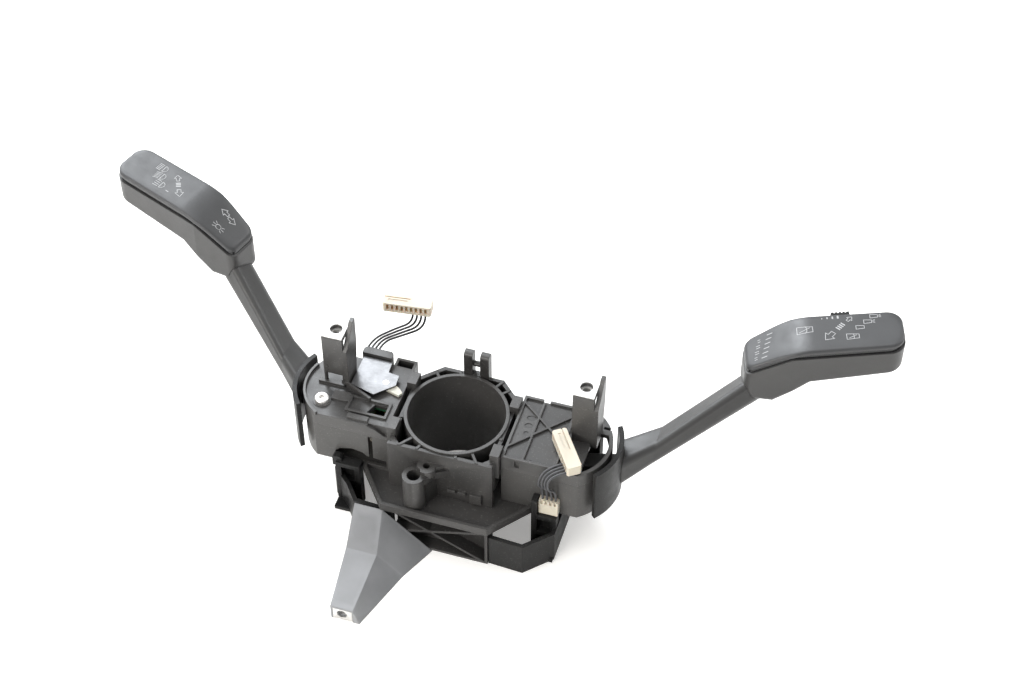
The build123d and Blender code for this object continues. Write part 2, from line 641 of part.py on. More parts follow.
def left_cover():
    """Cover of the turn-signal module: terraces, rimmed pocket, screw seat and trim post."""
    body = cap_shell(False) + trim_post(False, WINDOW_H) + end_rim()
    body += cover_border(POCKET_X0, POCKET_X0 + 22, POCKET_Y0, BOARD_FRONT_LEFT + 2)
    body += rib(MODULE_IN_X + 14, -6, COVER_X + 4, 2, RIB_T, -0.5, 3.2)
    terrace = block(54, SCREW_X - SCREW_HEAD_D / 2 - 0.5, -10, -4, -0.5, RIB_H)
    body += fillet(terrace.edges().filter_by(Axis.Z).group_by(Axis.X)[0], 2.0)
    body += block(POST_X0, POST_X1 + 3, POST_Y0 - RIB_T, POST_Y0 + 0.5, -0.5, RIM_H)
    body += block(MODULE_IN_X + 11, MODULE_IN_X + 22, -MODULE_Y + 1.5, -MODULE_Y + 4.5, -0.5, RIB_H)
    seat = rod(SCREW_X, SCREW_Y, SCREW_HEAD_D + 2, -0.5, SEAT_Z)
    body = body + rear_pocket() + seat - pocket() - wedge_groove()
    return body - rod(SCREW_X, SCREW_Y, SCREW_HOLE_D, -20, 5)


def rear_pocket():
    """Small open box at the inner back corner of the turn-signal cover."""
    x0, x1 = MODULE_IN_X, MODULE_IN_X + 11
    y0, y1 = MODULE_Y - 1, MODULE_Y + 6
    box = block(x0, x1, y0, y1, SEAM_Z, 0)
    return box - block(x0 + RIB_T, x1 - RIB_T, y0 + RIB_T, y1 - RIB_T, SEAM_Z + RIB_T, 1)


def wedge_groove():
    """Wedge cut out of the cover's front corner, beside the column."""
    x = MODULE_IN_X
    low = SEAM_Z + 2
    points = [(x - 1, 1), (x + 10.5, 1), (x + 10.5, -0.9), (x + 6.5, -2.4), (x + 1.5, low), (x - 1, low)]
    plane = Plane(origin=(0, -MODULE_Y + MODULE_WALL - 0.4, 0), x_dir=(1, 0, 0), z_dir=(0, -1, 0))
    return extrude(plane * make_face(Polyline(*points, close=True)), 6)


def front_openings():
    """Arch and slot in the front wall of the turn-signal housing."""
    x, low = MODULE_IN_X, MODULE_FLOOR_Z + MODULE_WALL + 0.5
    points = [
        (x + 1.5, low), (x + 1.5, -25.5), (x + 12, -24.8), (x + 14, -22.8), (x + 20, -21.6),
        (x + 26.5, -23.6), (x + 29, -26.0), (x + 29, low),
    ]
    plane = Plane(origin=(0, -MODULE_Y + MODULE_WALL + 0.1, 0), x_dir=(1, 0, 0), z_dir=(0, -1, 0))
    arch = extrude(plane * make_face(Polyline(*points, close=True)), 6)
    slot = block(x + 8.4, x + 10.6, -MODULE_Y - 1, -MODULE_Y + MODULE_WALL + 0.1, -30, SEAM_Z - 1)
    return arch + slot


def screw_pillar():
    """Pillar in the turn-signal housing that takes the cover screw."""
    pillar = rod(SCREW_X, SCREW_Y, SCREW_HOLE_D + 4, MODULE_FLOOR_Z + 1, -COVER_T)
    return pillar - rod(SCREW_X, SCREW_Y, SCREW_HOLE_D, MODULE_FLOOR_Z + 4, 0)


def cover_screw():
    """Pan-head screw with a six-lobed recess."""
    shank = rod(SCREW_X, SCREW_Y, SCREW_HOLE_D, -16, SEAT_Z)
    head = rod(SCREW_X, SCREW_Y, SCREW_HEAD_D, SEAT_Z, SEAT_Z + SCREW_HEAD_H)
    head = fillet(head.edges().group_by(Axis.Z)[-1], 1.0)
    recess = extrude(Pos(SCREW_X, SCREW_Y, SEAT_Z + 1.0) * RegularPolygon(1.6, 6), 2)
    return shank + head - recess


# ---------------------------------------------------------------- mechanism
FORK_TOP_Z = PIVOT_Z + FORK_H / 2
FORK_LOW_Z = PIVOT_Z - FORK_H / 2
EYE_HALF = HUB_Y - CHEEK_T - SIDE_FIT
DETENT_X = PIVOT_X - DETENT_R
TRACK_TOP_Z = MODULE_FLOOR_Z + MODULE_WALL + TRACK_T
NOSE_Z = TRACK_TOP_Z + SIDE_FIT              # lowest point of the plunger's nose
SPRING_Z = NOSE_Z + PLUNGER_L                # where plunger and spring meet
BARREL_LOW_Z = NOSE_Z + PLUNGER_TRAVEL + 0.4
BARREL_TOP_Z = SPRING_Z + SPRING_L + 1.6


def fork():
    """Turning block: two cheeks, upper and lower trunnion and the detent barrel."""
    body = block(PIVOT_X - FORK_X, PIVOT_X + FORK_X, -HUB_Y, HUB_Y, FORK_LOW_Z, FORK_TOP_Z)
    channel_y = HUB_Y - CHEEK_T
    body -= block(PIVOT_X - LEVER_H / 2 - EYE_GAP, PIVOT_X + FORK_X + 1, -channel_y, channel_y,
                  FORK_LOW_Z + FORK_PLATE_T, FORK_TOP_Z - FORK_PLATE_T)
    body += block(DETENT_X, PIVOT_X - FORK_X + 0.5, -BARREL_D / 2, BARREL_D / 2, BARREL_LOW_Z, BARREL_TOP_Z)
    body += rod(DETENT_X, 0, BARREL_D, BARREL_LOW_Z, BARREL_TOP_Z)
    body += rod(PIVOT_X, 0, TRUNNION_D, FORK_TOP_Z - 1, -COVER_T - 0.5)
    body += rod(PIVOT_X, 0, TRUNNION_D, MODULE_FLOOR_Z + 1.3, FORK_LOW_Z + 1)
    body -= rod(DETENT_X, 0, PLUNGER_D + 2 * PIN_FIT, BARREL_LOW_Z - 1, SPRING_Z + SPRING_L)
    return body - rod_y(PIVOT_X, -HUB_Y - 1, HUB_Y + 1, PIVOT_Z, LEVER_PIN_D)


def lever_pin():
    """Steel pin that the stalk's lever tilts on."""
    return rod_y(PIVOT_X, -HUB_Y, HUB_Y, PIVOT_Z, LEVER_PIN_D)


def plunger():
    """Round-nosed detent plunger."""
    radius = PLUNGER_D / 2
    nose = Pos(DETENT_X, 0, NOSE_Z + radius) * Sphere(radius)
    return rod(DETENT_X, 0, PLUNGER_D, NOSE_Z + radius, SPRING_Z) + nose


def detent_spring():
    """Coil spring between the plunger and the barrel's end."""
    wire, turns = 0.6, 3.5
    radius = PLUNGER_D / 2 - wire / 2 - 0.2
    height = SPRING_L - wire
    coil = Helix(pitch=height / turns, height=height, radius=radius)
    section = Plane(origin=coil @ 0, z_dir=coil % 0) * RegularPolygon(wire / 2, 6)
    return Pos(DETENT_X, 0, SPRING_Z + wire / 2) * sweep(section, path=coil)


def detent_track(notches):
    """Curved track on the housing floor with a notch for each position of the stalk."""
    z0 = MODULE_FLOOR_Z + MODULE_WALL
    outer, inner = DETENT_R + TRACK_W / 2, DETENT_R - TRACK_W / 2
    arc = ring(outer, inner, z0, TRACK_TOP_Z, PIVOT_X)
    arc = arc & sector(outer + 1, 180 - TRACK_SWEEP, 180 + TRACK_SWEEP, z0, TRACK_TOP_Z)
    for angle in notches:
        notch = rod_x(-outer - 1, -inner + 1, 0, TRACK_TOP_Z, 2 * NOTCH_R)
        arc -= Pos(PIVOT_X, 0, 0) * Rot(0, 0, angle) * notch
    return arc


def contact_brush():
    """Brass brush on the barrel that wipes the circuit board."""
    x0, x1 = DETENT_X - 3.5, DETENT_X + 3.5
    foot = block(x0, x1, -2.5, 2.5, BARREL_TOP_Z, BARREL_TOP_Z + 0.6)
    leaf = block(x0, x0 + 0.6, -2.5, 2.5, BARREL_TOP_Z, BOARD_LOW_Z - SIDE_FIT)
    return foot + leaf


BOARD_LOW_Z = -COVER_T - BOARD_T
BOARD_Y = MODULE_Y - MODULE_WALL - 0.5


def circuit_board(front_y):
    """Contact board held flat under the cover."""
    x0 = MODULE_IN_X + MODULE_WALL + 0.5
    x1 = PIVOT_X - TRUNNION_D / 2 - 4
    return block(x0, x1, front_y, BOARD_Y, BOARD_LOW_Z, -COVER_T)


# ---------------------------------------------------------------- stalks
def cross_section(x, y, z, width, height, tilt=0.0, corner=0.3):
    """Rounded section square to X, turned by the tilt."""
    plane = Plane(origin=(x, y, z), x_dir=(0, 1, 0), z_dir=(1, 0, 0))
    radius = min(width, height) * corner
    return plane * Rot(0, 0, tilt) * RectangleRounded(width, height, radius)


def shaft_centre(x):
    """Middle of the shaft at a distance along X."""
    run = x - SHAFT_X0
    return SHAFT_Y0 + run * math.tan(math.radians(SHAFT_PLAN_DEG)), SHAFT_Z0 + run * SHAFT_RISE


def lever():
    """Inner arm from the lever eye through the dust shield."""
    end_x = PIVOT_X + SHIELD_R + 2
    y, z = shaft_centre(end_x - 2.5)
    eye = rod_y(PIVOT_X, -EYE_HALF, EYE_HALF, PIVOT_Z, LEVER_H)
    neck_x = PIVOT_X + FORK_X + 1
    neck = block(PIVOT_X, neck_x, -LEVER_W / 2, LEVER_W / 2, PIVOT_Z - LEVER_H / 2, PIVOT_Z + LEVER_H / 2)
    arm = loft([
        cross_section(neck_x - 0.2, 0, PIVOT_Z, LEVER_W, LEVER_H, corner=0.05),
        cross_section(end_x, y, z, LEVER_W, LEVER_H, corner=0.05),
    ])
    return eye + neck + arm - rod_y(PIVOT_X, -HUB_Y, HUB_Y, PIVOT_Z, LEVER_PIN_D + 2 * PIN_FIT)


def shaft(start_x, end_x):
    """Tapered shaft between two distances along X."""
    def at(x):
        share = (x - SHAFT_X0) / (SHAFT_X1 - SHAFT_X0)
        width = SHAFT_W0 + share * (SHAFT_W1 - SHAFT_W0)
        height = SHAFT_H0 + share * (SHAFT_H1 - SHAFT_H0)
        return cross_section(x, *shaft_centre(x), width, height, -8 - 12 * share)
    return loft([at(start_x), at(end_x)])


def stalk_arm():
    """Lever, flared root and shaft of a stalk in one moulding."""
    y, z = shaft_centre(SHAFT_X0)
    middle = (SHIELD_TOP_Z + SHIELD_LOW_Z) / 2
    root = loft([
        cross_section(COLLAR_START_X - 4, 5.5, middle - 5.5, 23.0, 21.0, corner=0.25),
        cross_section(SHAFT_X0, y, z, SHAFT_W0, SHAFT_H0, -8),
    ])
    root -= rod(PIVOT_X, 0, 2 * SHIELD_R, -60, 30)
    return root + shaft(SHAFT_X0, SHAFT_X1) + lever()


def dust_shield():
    """Curved plate on the lever that closes the end of the module."""
    plate = ring(SHIELD_R, SHIELD_R - SHIELD_T, SHIELD_LOW_Z, SHIELD_TOP_Z, PIVOT_X)
    plate = plate & sector(SHIELD_R + 1, SHIELD_FROM, SHIELD_TO, SHIELD_LOW_Z, SHIELD_TOP_Z)
    return plate - lever()


def head_plan(inset=0.0, tip_gap=0.0):
    """Plan of the stalk head along U, before it is turned to its plan angle."""
    u0, u1 = HEAD_U0 + inset, HEAD_U1 - inset - tip_gap
    root, bend, tip = HEAD_ROOT_W / 2 - inset, HEAD_BEND_W / 2 - inset, HEAD_TIP_W / 2 - inset
    points = [
        (u0, HEAD_V - root), (HEAD_UB, HEAD_V - bend), (u1, HEAD_V - tip),
        (u1, HEAD_V + tip), (HEAD_UB, HEAD_V + bend), (u0, HEAD_V + root),
    ]
    face = make_face(Polyline(*points, close=True))
    face = fillet(face.vertices().group_by(Axis.X)[0], max(HEAD_ROOT_R - inset, 1))
    face = fillet(face.vertices().group_by(Axis.X)[-1], max(HEAD_TIP_R - inset, 1))
    return Pos(0, 0, -20) * extrude(face, 100)


def outer_edges(faces):
    """Edges that only one face of a group has."""
    edges = [edge for face in faces for edge in face.edges()]
    return [edge for edge in edges if sum(edge.is_same(other) for other in edges) == 1]


def top_line(drop):
    """Points of the head's top in side view, lowered by the drop."""
    slope = (HEAD_BEND_Z - HEAD_ROOT_Z) / (HEAD_UB - HEAD_U0)
    return [(HEAD_U0 - 3, HEAD_ROOT_Z - 3 * slope - drop), (HEAD_UB, HEAD_BEND_Z - drop),
            (HEAD_U1 + 3, HEAD_TIP_Z + 3 * head_slope() - drop)]


def head_slope():
    """Rise of the head's top beyond its bend."""
    return (HEAD_TIP_Z - HEAD_BEND_Z) / (HEAD_U1 - HEAD_UB)


def bottom_line(lift=0.0):
    """Points of the head's underside in side view, from tip to root."""
    return [(HEAD_U1 + 3, HEAD_TIP_Z - HEAD_TIP_H + lift), (HEAD_UB + 10, HEAD_BEND_Z - HEAD_BEND_H + lift),
            (HEAD_UB - 7, HEAD_ROOT_LOW_Z + lift), (HEAD_U0 - 3, HEAD_ROOT_LOW_Z + 0.5 + lift)]


def side_slice(upper, lower):
    """Side profile pushed across the head."""
    plane = Plane(origin=(0, -60, 0), x_dir=(1, 0, 0), z_dir=(0, -1, 0))
    face = plane * make_face(Polyline(*upper, *lower, close=True))
    return extrude(face, -140)


def head_layer(top_drop, bottom_drop, inset, tip_gap):
    """Slice of the head that follows its top."""
    return head_plan(inset, tip_gap) & side_slice(top_line(top_drop), top_line(bottom_drop)[::-1])


def turned(shape):
    """Head piece turned from the U direction to its plan angle."""
    return Rot(0, 0, HEAD_PLAN_DEG) * shape


def head_fascia():
    """Upper face plate of a stalk head, rounded along its upper edge."""
    plate = head_layer(0, FASCIA_T, FASCIA_INSET, FASCIA_TIP_GAP)
    tops = [face for face in plate.faces() if face.normal_at().Z > 0.5]
    return turned(fillet(outer_edges(tops), FASCIA_R))


def head_band():
    """Dark gloss band under the face plate."""
    return turned(head_layer(FASCIA_T, FASCIA_T + BAND_T, BAND_INSET, FASCIA_TIP_GAP))


def head_shell():
    """Hollow lower shell of a stalk head, rounded along its underside."""
    drop = FASCIA_T + BAND_T
    body = head_plan() & side_slice(top_line(drop), bottom_line())
    bottoms = [face for face in body.faces() if face.normal_at().Z < -0.3]
    body = fillet(outer_edges(bottoms), HEAD_BELLY_R)
    inside = head_plan(SHELL_WALL) & side_slice(top_line(drop - 1), bottom_line(SHELL_WALL))
    return turned(body - inside) - shaft(SHAFT_X0, SHAFT_X1)


STEM_V = HEAD_V + HEAD_TIP_W / 2 - 5.0       # inner end of the slider's stem
KNOB_V = HEAD_V + HEAD_TIP_W / 2 + 0.65      # inner side of its knob, clear of the head


def stem_space(u0, u1, v0, gap):
    """Length of the band's far edge, with a gap left below the face plate and above the shell."""
    upper, lower = top_line(FASCIA_T + gap), top_line(FASCIA_T + BAND_T - gap)[::-1]
    return side_slice(upper, lower) & block(u0, u1, v0, HEAD_V + HEAD_TIP_W, -20, 80)


def interval_slider():
    """Ribbed slide knob on the far edge of the wiper head."""
    u0, u1 = SLIDER_U - SLIDER_L / 2, SLIDER_U + SLIDER_L / 2
    stem = stem_space(u0, u1, STEM_V, SIDE_FIT) & block(u0, u1, STEM_V, KNOB_V + 1, -20, 80)
    knob = side_slice(top_line(FASCIA_T - 0.6), top_line(FASCIA_T + BAND_T + 0.6)[::-1])
    knob = knob & block(u0, u1, KNOB_V, KNOB_V + SLIDER_PROUD, -20, 80)
    for step in range(1, 5):
        u = u0 + step * SLIDER_L / 5
        knob -= block(u - 0.35, u + 0.35, KNOB_V + SLIDER_PROUD - 0.6, KNOB_V + 9, -20, 80)
    return turned(stem + knob)


def wiper_band():
    """Gloss band of the wiper head, with the slider's slot."""
    u0, u1 = SLIDER_U - SLIDER_L / 2 - SIDE_FIT, SLIDER_U + SLIDER_L / 2 + SLIDER_TRAVEL + SIDE_FIT
    return head_band() - turned(stem_space(u0, u1, STEM_V - SIDE_FIT, -0.2))


# ---------------------------------------------------------------- small fittings
def trim_clip():
    """U-shaped spring nut on a trim tab."""
    x0, x1 = POST_X0 + 0.3, POST_X1 - 0.3
    back = POST_Y1 + CLIP_T
    top = TAB_TOP_Z + CLIP_T
    low = TAB_TOP_Z - TAB_T - CLIP_T
    clip = block(x0, x1, POST_Y0 + 0.3, back, TAB_TOP_Z, top)
    clip += block(x0, x1, POST_Y1, back, low, top)
    clip += block(x0, x1, POST_Y0 + POST_WALL + 0.4, back, low, low + CLIP_T)
    clip += rod(TRIM_HOLE_X, TRIM_HOLE_Y, NUT_D + 1.8, low - 2.4, low)
    clip -= rod(TRIM_HOLE_X, TRIM_HOLE_Y, TRIM_HOLE_D, TAB_TOP_Z - 0.1, top + 1)
    return clip - rod(TRIM_HOLE_X, TRIM_HOLE_Y, NUT_D, low - 5, TAB_TOP_Z)


def foot_clip():
    """U-shaped spring nut on the leg's end wall."""
    left, ridge = LEG_SECTIONS[0][1], LEG_SECTIONS[0][2]
    x0, x1 = left + 1.2, ridge - 0.7
    y0, y1 = LEG_FOOT_Y, LEG_FOOT_Y + LEG_WALL
    z0, z1 = FLOOR_Z + 0.6, FOOT_TOP_Z - 1.4
    clip = block(x0, x1, y0, y0 + CLIP_T, z0, z1)
    clip += block(x0, x1, y0, y1 + CLIP_T, z0, z0 + CLIP_T)
    clip += block(x0 + 1, x1 - 1, y1, y1 + CLIP_T, z0, z1 - 1.2)
    middle = (left + ridge) / 2
    clip += rod_y(middle, y1, y1 + 3.2, foot_hole_z(), NUT_D + 1.0)
    clip -= rod_y(middle, y0 - 1, y0 + CLIP_T + 0.5, foot_hole_z(), FOOT_HOLE_D)
    return clip - rod_y(middle, y0 + CLIP_T, y1 + 9, foot_hole_z(), NUT_D)


PLATE_PLAN = (
    (56.8, 20.5), (41.5, 20.5), (41.0, 13.4), (35.0, 12.6), (34.6, 6.0), (43.5, -3.0), (56.8, 0.6),
)


def cancel_plate():
    """Steel plate over the self-cancelling mechanism."""
    plate = prism(PLATE_PLAN, PLATE_Z, PLATE_Z + PLATE_T)
    flange = block(44, 54, 19.5, 20.5, 0, PLATE_Z + PLATE_T)
    foot = block(50, 54, 0.8, 1.8, 0, PLATE_Z + PLATE_T)
    return plate + flange + foot - rod(PAWL_PIN_X, PAWL_PIN_Y, PAWL_PIN_D, -5, 10)


def cancel_pin():
    """Pin that the cancelling pawl turns on."""
    return rod(PAWL_PIN_X, PAWL_PIN_Y, PAWL_PIN_D, 0, PLATE_Z + PLATE_T)


def cancel_pawl():
    """Pawl that reaches towards the column and resets the turn signal."""
    x, y = PAWL_PIN_X, PAWL_PIN_Y
    z0, z1 = SIDE_FIT, PLATE_Z - SIDE_FIT
    eye = rod(x, y, PAWL_PIN_D + 4, z0, z1)
    outline = [(x - 1, y - 3.4), (x - 8.5, y - 5.5), (x - 9.8, y - 3.2), (x - 8, y - 1.2), (x - 1, y + 3.2)]
    arm = prism(outline, z0, z1)
    return eye + arm - rod(x, y, PAWL_PIN_D + 2 * PIN_FIT, -1, 5)


def left_wire_guide():
    """Black guide behind the turn-signal module that the wires leave from."""
    body = block(42, 58, MODULE_Y, MODULE_Y + GUIDE_T, -4, 5)
    return fillet(body.edges().filter_by(Axis.Z).group_by(Axis.Y)[-1], 2.0)


def right_wire_comb():
    """White block on the wiper housing's front wall that the wires plug into."""
    x1, y1 = COMB_X0 + COMB_W, -MODULE_Y
    body = block(COMB_X0, x1, y1 - COMB_T, y1, COMB_LOW_Z, COMB_TOP_Z)
    for step in range(4):
        x = RIGHT_WIRE_X + step * COMB_PITCH
        body -= block(x - 0.6, x + 0.6, y1 - COMB_T - 1, y1 - COMB_T + 0.8, COMB_TOP_Z - 2.5, 0)
    return body


RIGHT_WIRE_X = COMB_X0 + (COMB_W - 3 * COMB_PITCH) / 2
CONNECTOR_L = CONTACTS * PITCH + 2 * CONNECTOR_END
LEFT_CONNECTOR = Pos(-41.4, 46.2, 20.0) * Rot(0, 0, 7)
RIGHT_CONNECTOR = Pos(60.9, -11.0, RIB_H + CONNECTOR_H / 2) * Rot(0, 0, -56)


def connector(place):
    """White housing with a row of nine terminal slots and a key slit along its top."""
    body = Box(CONNECTOR_L, CONNECTOR_D, CONNECTOR_H)
    body = chamfer(body.edges().filter_by(Axis.Z), CONNECTOR_CHAMFER)
    for k in range(CONTACTS):
        x = (k - (CONTACTS - 1) / 2) * PITCH
        body -= Pos(x, -CONNECTOR_D / 2 + 2, 0.4) * Box(TERMINAL_W, 4.2, 3.4)
    top = CONNECTOR_H / 2
    body -= Pos(-CONNECTOR_L / 4, 1.3, top) * Box(CONNECTOR_L * 0.6, 0.7, 1.6)
    body -= Pos(-CONNECTOR_L / 5, -0.6, top) * Box(CONNECTOR_L * 0.4, 1.1, 0.6)
    return place * body


def terminals(place):
    """Row of tinned terminals in a connector."""
    row = []
    for k in range(CONTACTS):
        x = (k - (CONTACTS - 1) / 2) * PITCH
        row.append(place * Pos(x, -CONNECTOR_D / 2 + 2.35, 0.1) * Box(TERMINAL_W, 3.5, 2.8))
    return Compound(children=row)


LEFT_WIRES = tuple(
    ((-57.2 + 2.0 * k, MODULE_Y + GUIDE_T, 2.5), (-57.2 + 2.0 * k, 33.0, 2.5),
     (-47.5 + 1.6 * k, 41.2 - 1.2 * k, 5.0),
     (-38.3 + 2.2 * k, 44.6 + 0.27 * k, 9.5 - 0.9 * k), (-38.3 + 2.2 * k, 44.6 + 0.27 * k, 17.0))
    for k in range(4)
)
RIGHT_WIRES = tuple(
    ((RIGHT_WIRE_X + COMB_PITCH * k, -22.8, COMB_TOP_Z), (RIGHT_WIRE_X + COMB_PITCH * k, -22.8, -13.0),
     (50.5 + 2.0 * k, -27.5 - 0.9 * k, -6.0), (53.24 + 1.062 * k, -22.44 - 1.575 * k, 2.0),
     (60.70 + 1.062 * k, -17.406 - 1.575 * k, 2.0))
    for k in range(4)
)


def wire(points):
    """Round wire along straight runs joined by tangent arcs."""
    vectors = [Vector(*p) for p in points]
    radii = []
    for a, b, c in zip(vectors, vectors[1:], vectors[2:]):
        turn = math.radians((b - a).get_angle(c - b))
        radii.append(WIRE_BEND * min((b - a).length, (c - b).length) / math.tan(turn / 2))
    print("wire radii", [round(r, 1) for r in radii])
    path = FilletPolyline(*vectors, radius=radii)
    section = Plane(origin=vectors[0], z_dir=vectors[1] - vectors[0]) * Circle(WIRE_D / 2)
    return sweep(section, path=path)


# ---------------------------------------------------------------- pieces
write("carrier_housing", carrier())
write("lower_tray", tray())
write("cradle_frame", cradle_frame())
write("foot_leg", leg())
write("right_switch_housing", housing())
write("left_switch_housing", mirrored(housing() + screw_pillar() - front_openings()))
write("right_switch_cover", right_cover())
write("left_switch_cover", mirrored(left_cover()))
write("cover_screw", mirrored(cover_screw()))
write("trim_clip_nuts", Compound(children=[trim_clip(), mirrored(trim_clip()), foot_clip()]))
write("cancel_cover_plate", mirrored(cancel_plate()))
write("cancel_pin", mirrored(cancel_pin()))
write("cancel_pawl", mirrored(cancel_pawl()))
write("left_wire_guide", mirrored(left_wire_guide()))
write("right_wire_comb", right_wire_comb())
write("left_connector", connector(LEFT_CONNECTOR))
write("right_connector", connector(RIGHT_CONNECTOR))
write("left_terminals", terminals(LEFT_CONNECTOR))
write("right_terminals", terminals(RIGHT_CONNECTOR))

MECHANISM = {
    "fork": fork(),
    "lever_pin": lever_pin(),
    "detent_plunger": plunger(),
    "detent_spring": detent_spring(),
    "contact_brush": contact_brush(),
    "stalk_arm": stalk_arm(),
    "dust_shield": dust_shield(),
    "stalk_shell": head_shell(),
    "stalk_fascia": head_fascia(),
}
for name, shape in MECHANISM.items():
    write(f"right_{name}", shape)
    write(f"left_{name}", mirrored(shape))
write("right_detent_track", detent_track(WIPE_NOTCHES))
write("left_detent_track", mirrored(detent_track(TURN_NOTCHES)))
write("right_circuit_board", circuit_board(-BOARD_Y))
write("left_circuit_board", mirrored(circuit_board(BOARD_FRONT_LEFT)))
for number, points in enumerate(LEFT_WIRES, 1):
    write(f"left_wire_{number}", wire(points))
for number, points in enumerate(RIGHT_WIRES, 1):
    write(f"right_wire_{number}", wire(points))
write("left_stalk_band", mirrored(head_band()))
write("right_stalk_band", wiper_band())
write("interval_slider", interval_slider())
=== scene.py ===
"""Looks of a combination stalk switch.

Grained and glossy plastics, plated steel, wires, detent springs, rounded face plates and their printed signs.
Lengths are in millimetres and are multiplied by MM where Blender wants metres; the lamps are in metres.
"""
import json
import math

import bmesh
import bpy
from mathutils import Matrix, Vector


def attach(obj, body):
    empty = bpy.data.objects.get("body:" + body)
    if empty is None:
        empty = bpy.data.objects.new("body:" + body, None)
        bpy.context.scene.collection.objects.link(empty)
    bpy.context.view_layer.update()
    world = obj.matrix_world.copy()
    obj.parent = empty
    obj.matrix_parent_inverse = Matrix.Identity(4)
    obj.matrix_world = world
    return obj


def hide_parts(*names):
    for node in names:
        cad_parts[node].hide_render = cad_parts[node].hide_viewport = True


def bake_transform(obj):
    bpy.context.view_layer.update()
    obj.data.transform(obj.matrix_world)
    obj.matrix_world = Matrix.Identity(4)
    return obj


MM = 0.001

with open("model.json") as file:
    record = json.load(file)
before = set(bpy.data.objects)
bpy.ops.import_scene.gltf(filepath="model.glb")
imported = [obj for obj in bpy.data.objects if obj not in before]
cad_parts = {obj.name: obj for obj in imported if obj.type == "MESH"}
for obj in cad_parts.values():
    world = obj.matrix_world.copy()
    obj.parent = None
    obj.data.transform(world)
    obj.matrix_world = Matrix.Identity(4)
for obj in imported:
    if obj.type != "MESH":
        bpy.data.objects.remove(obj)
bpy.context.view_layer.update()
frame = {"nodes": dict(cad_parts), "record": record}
nodes = frame["nodes"]
scene = bpy.context.scene


# ---------------------------------------------------------------- camera
AZIMUTH = math.radians(17.322)      # turned about +Z from straight in front
ELEVATION = math.radians(47.488)
DISTANCE = 1034.044 * MM            # from the bore's centre, along the view
SHIFT_RIGHT = -27.886 * MM          # the bore's centre in the picture plane
SHIFT_UP = -36.712 * MM
LENS_MM = 72.07


def add_camera():
    """Camera at the photograph's angle."""
    ca, sa = math.cos(AZIMUTH), math.sin(AZIMUTH)
    ce, se = math.cos(ELEVATION), math.sin(ELEVATION)
    right = Vector((ca, sa, 0))
    up = Vector((-sa * se, ca * se, ce))
    forward = Vector((-sa * ce, ca * ce, -se))
    place = -(right * SHIFT_RIGHT + up * SHIFT_UP + forward * DISTANCE)
    data = bpy.data.cameras.new("camera")
    data.lens = LENS_MM
    data.clip_start = 0.01
    camera = bpy.data.objects.new("camera", data)
    camera.matrix_world = Matrix((
        (right.x, up.x, -forward.x, place.x),
        (right.y, up.y, -forward.y, place.y),
        (right.z, up.z, -forward.z, place.z),
        (0, 0, 0, 1),
    ))
    scene.collection.objects.link(camera)
    scene.camera = camera


add_camera()


# ---------------------------------------------------------------- material helpers
GRAIN_MM = 0.06                      # depth of a moulded grain
MARKS_MM = 0.02                      # depth of the fine marks on metal
MARKS_STRENGTH = 0.3
CLOUDS, SPECKS, SHEEN, STAINS = 55.0, 900.0, 140.0, 220.0   # cells of each noise in a metre
MARKS, MARKS_STRETCH = 480.0, 15.0   # the same for the marks on metal, drawn out along one axis
CLOUD_DARK, STAIN_DARK = 0.82, 0.72  # darker tone of clouds and of stains, as a share of the colour
SHEEN_SWING = 0.06                   # how far a plastic's roughness wanders
METAL_EDGE_MM = 0.15                 # rounding of a metal part's edges
DUST = (0.42, 0.41, 0.39)


def new_material(name, color, roughness, metallic=0.0):
    """Material with a Principled shader; returns it with its node tree and shader."""
    material = bpy.data.materials.new(name)
    material.use_nodes = True
    tree = material.node_tree
    shader = tree.nodes["Principled BSDF"]
    shader.inputs["Base Color"].default_value = (*color, 1)
    shader.inputs["Roughness"].default_value = roughness
    shader.inputs["Metallic"].default_value = metallic
    return material, tree, shader


def noise(tree, scale, detail=3.0, roughness=0.5):
    """Noise in object space, in cells per metre."""
    coords = tree.nodes.new("ShaderNodeTexCoord")
    texture = tree.nodes.new("ShaderNodeTexNoise")
    texture.inputs["Scale"].default_value = scale
    texture.inputs["Detail"].default_value = detail
    texture.inputs["Roughness"].default_value = roughness
    tree.links.new(coords.outputs["Object"], texture.inputs["Vector"])
    return texture


def span(tree, source, low, high, from_low=0.3, from_high=0.7):
    """Value stretched from the noise's middle to a range."""
    node = tree.nodes.new("ShaderNodeMapRange")
    node.inputs["From Min"].default_value = from_low
    node.inputs["From Max"].default_value = from_high
    node.inputs["To Min"].default_value = low
    node.inputs["To Max"].default_value = high
    tree.links.new(source, node.inputs["Value"])
    return node.outputs["Result"]


def mix(tree, factor, a, b):
    """Colour between two colours, or between a colour and a socket."""
    node = tree.nodes.new("ShaderNodeMix")
    node.data_type = "RGBA"
    tree.links.new(factor, node.inputs["Factor"])
    for socket, value in ((node.inputs["A"], a), (node.inputs["B"], b)):
        if isinstance(value, tuple):
            socket.default_value = (*value, 1)
        else:
            tree.links.new(value, socket)
    return node.outputs["Result"]


def soft_edges(tree, radius_mm):
    """Normal with rounded edges, for moulded and pressed parts."""
    bevel = tree.nodes.new("ShaderNodeBevel")
    bevel.samples = 4
    bevel.inputs["Radius"].default_value = radius_mm * MM
    return bevel.outputs["Normal"]


def bump(tree, shader, height, distance_mm, strength, edge_mm):
    """Bump over rounded edges."""
    node = tree.nodes.new("ShaderNodeBump")
    node.inputs["Strength"].default_value = strength
    node.inputs["Distance"].default_value = distance_mm * MM
    tree.links.new(height, node.inputs["Height"])
    tree.links.new(soft_edges(tree, edge_mm), node.inputs["Normal"])
    tree.links.new(node.outputs["Normal"], shader.inputs["Normal"])


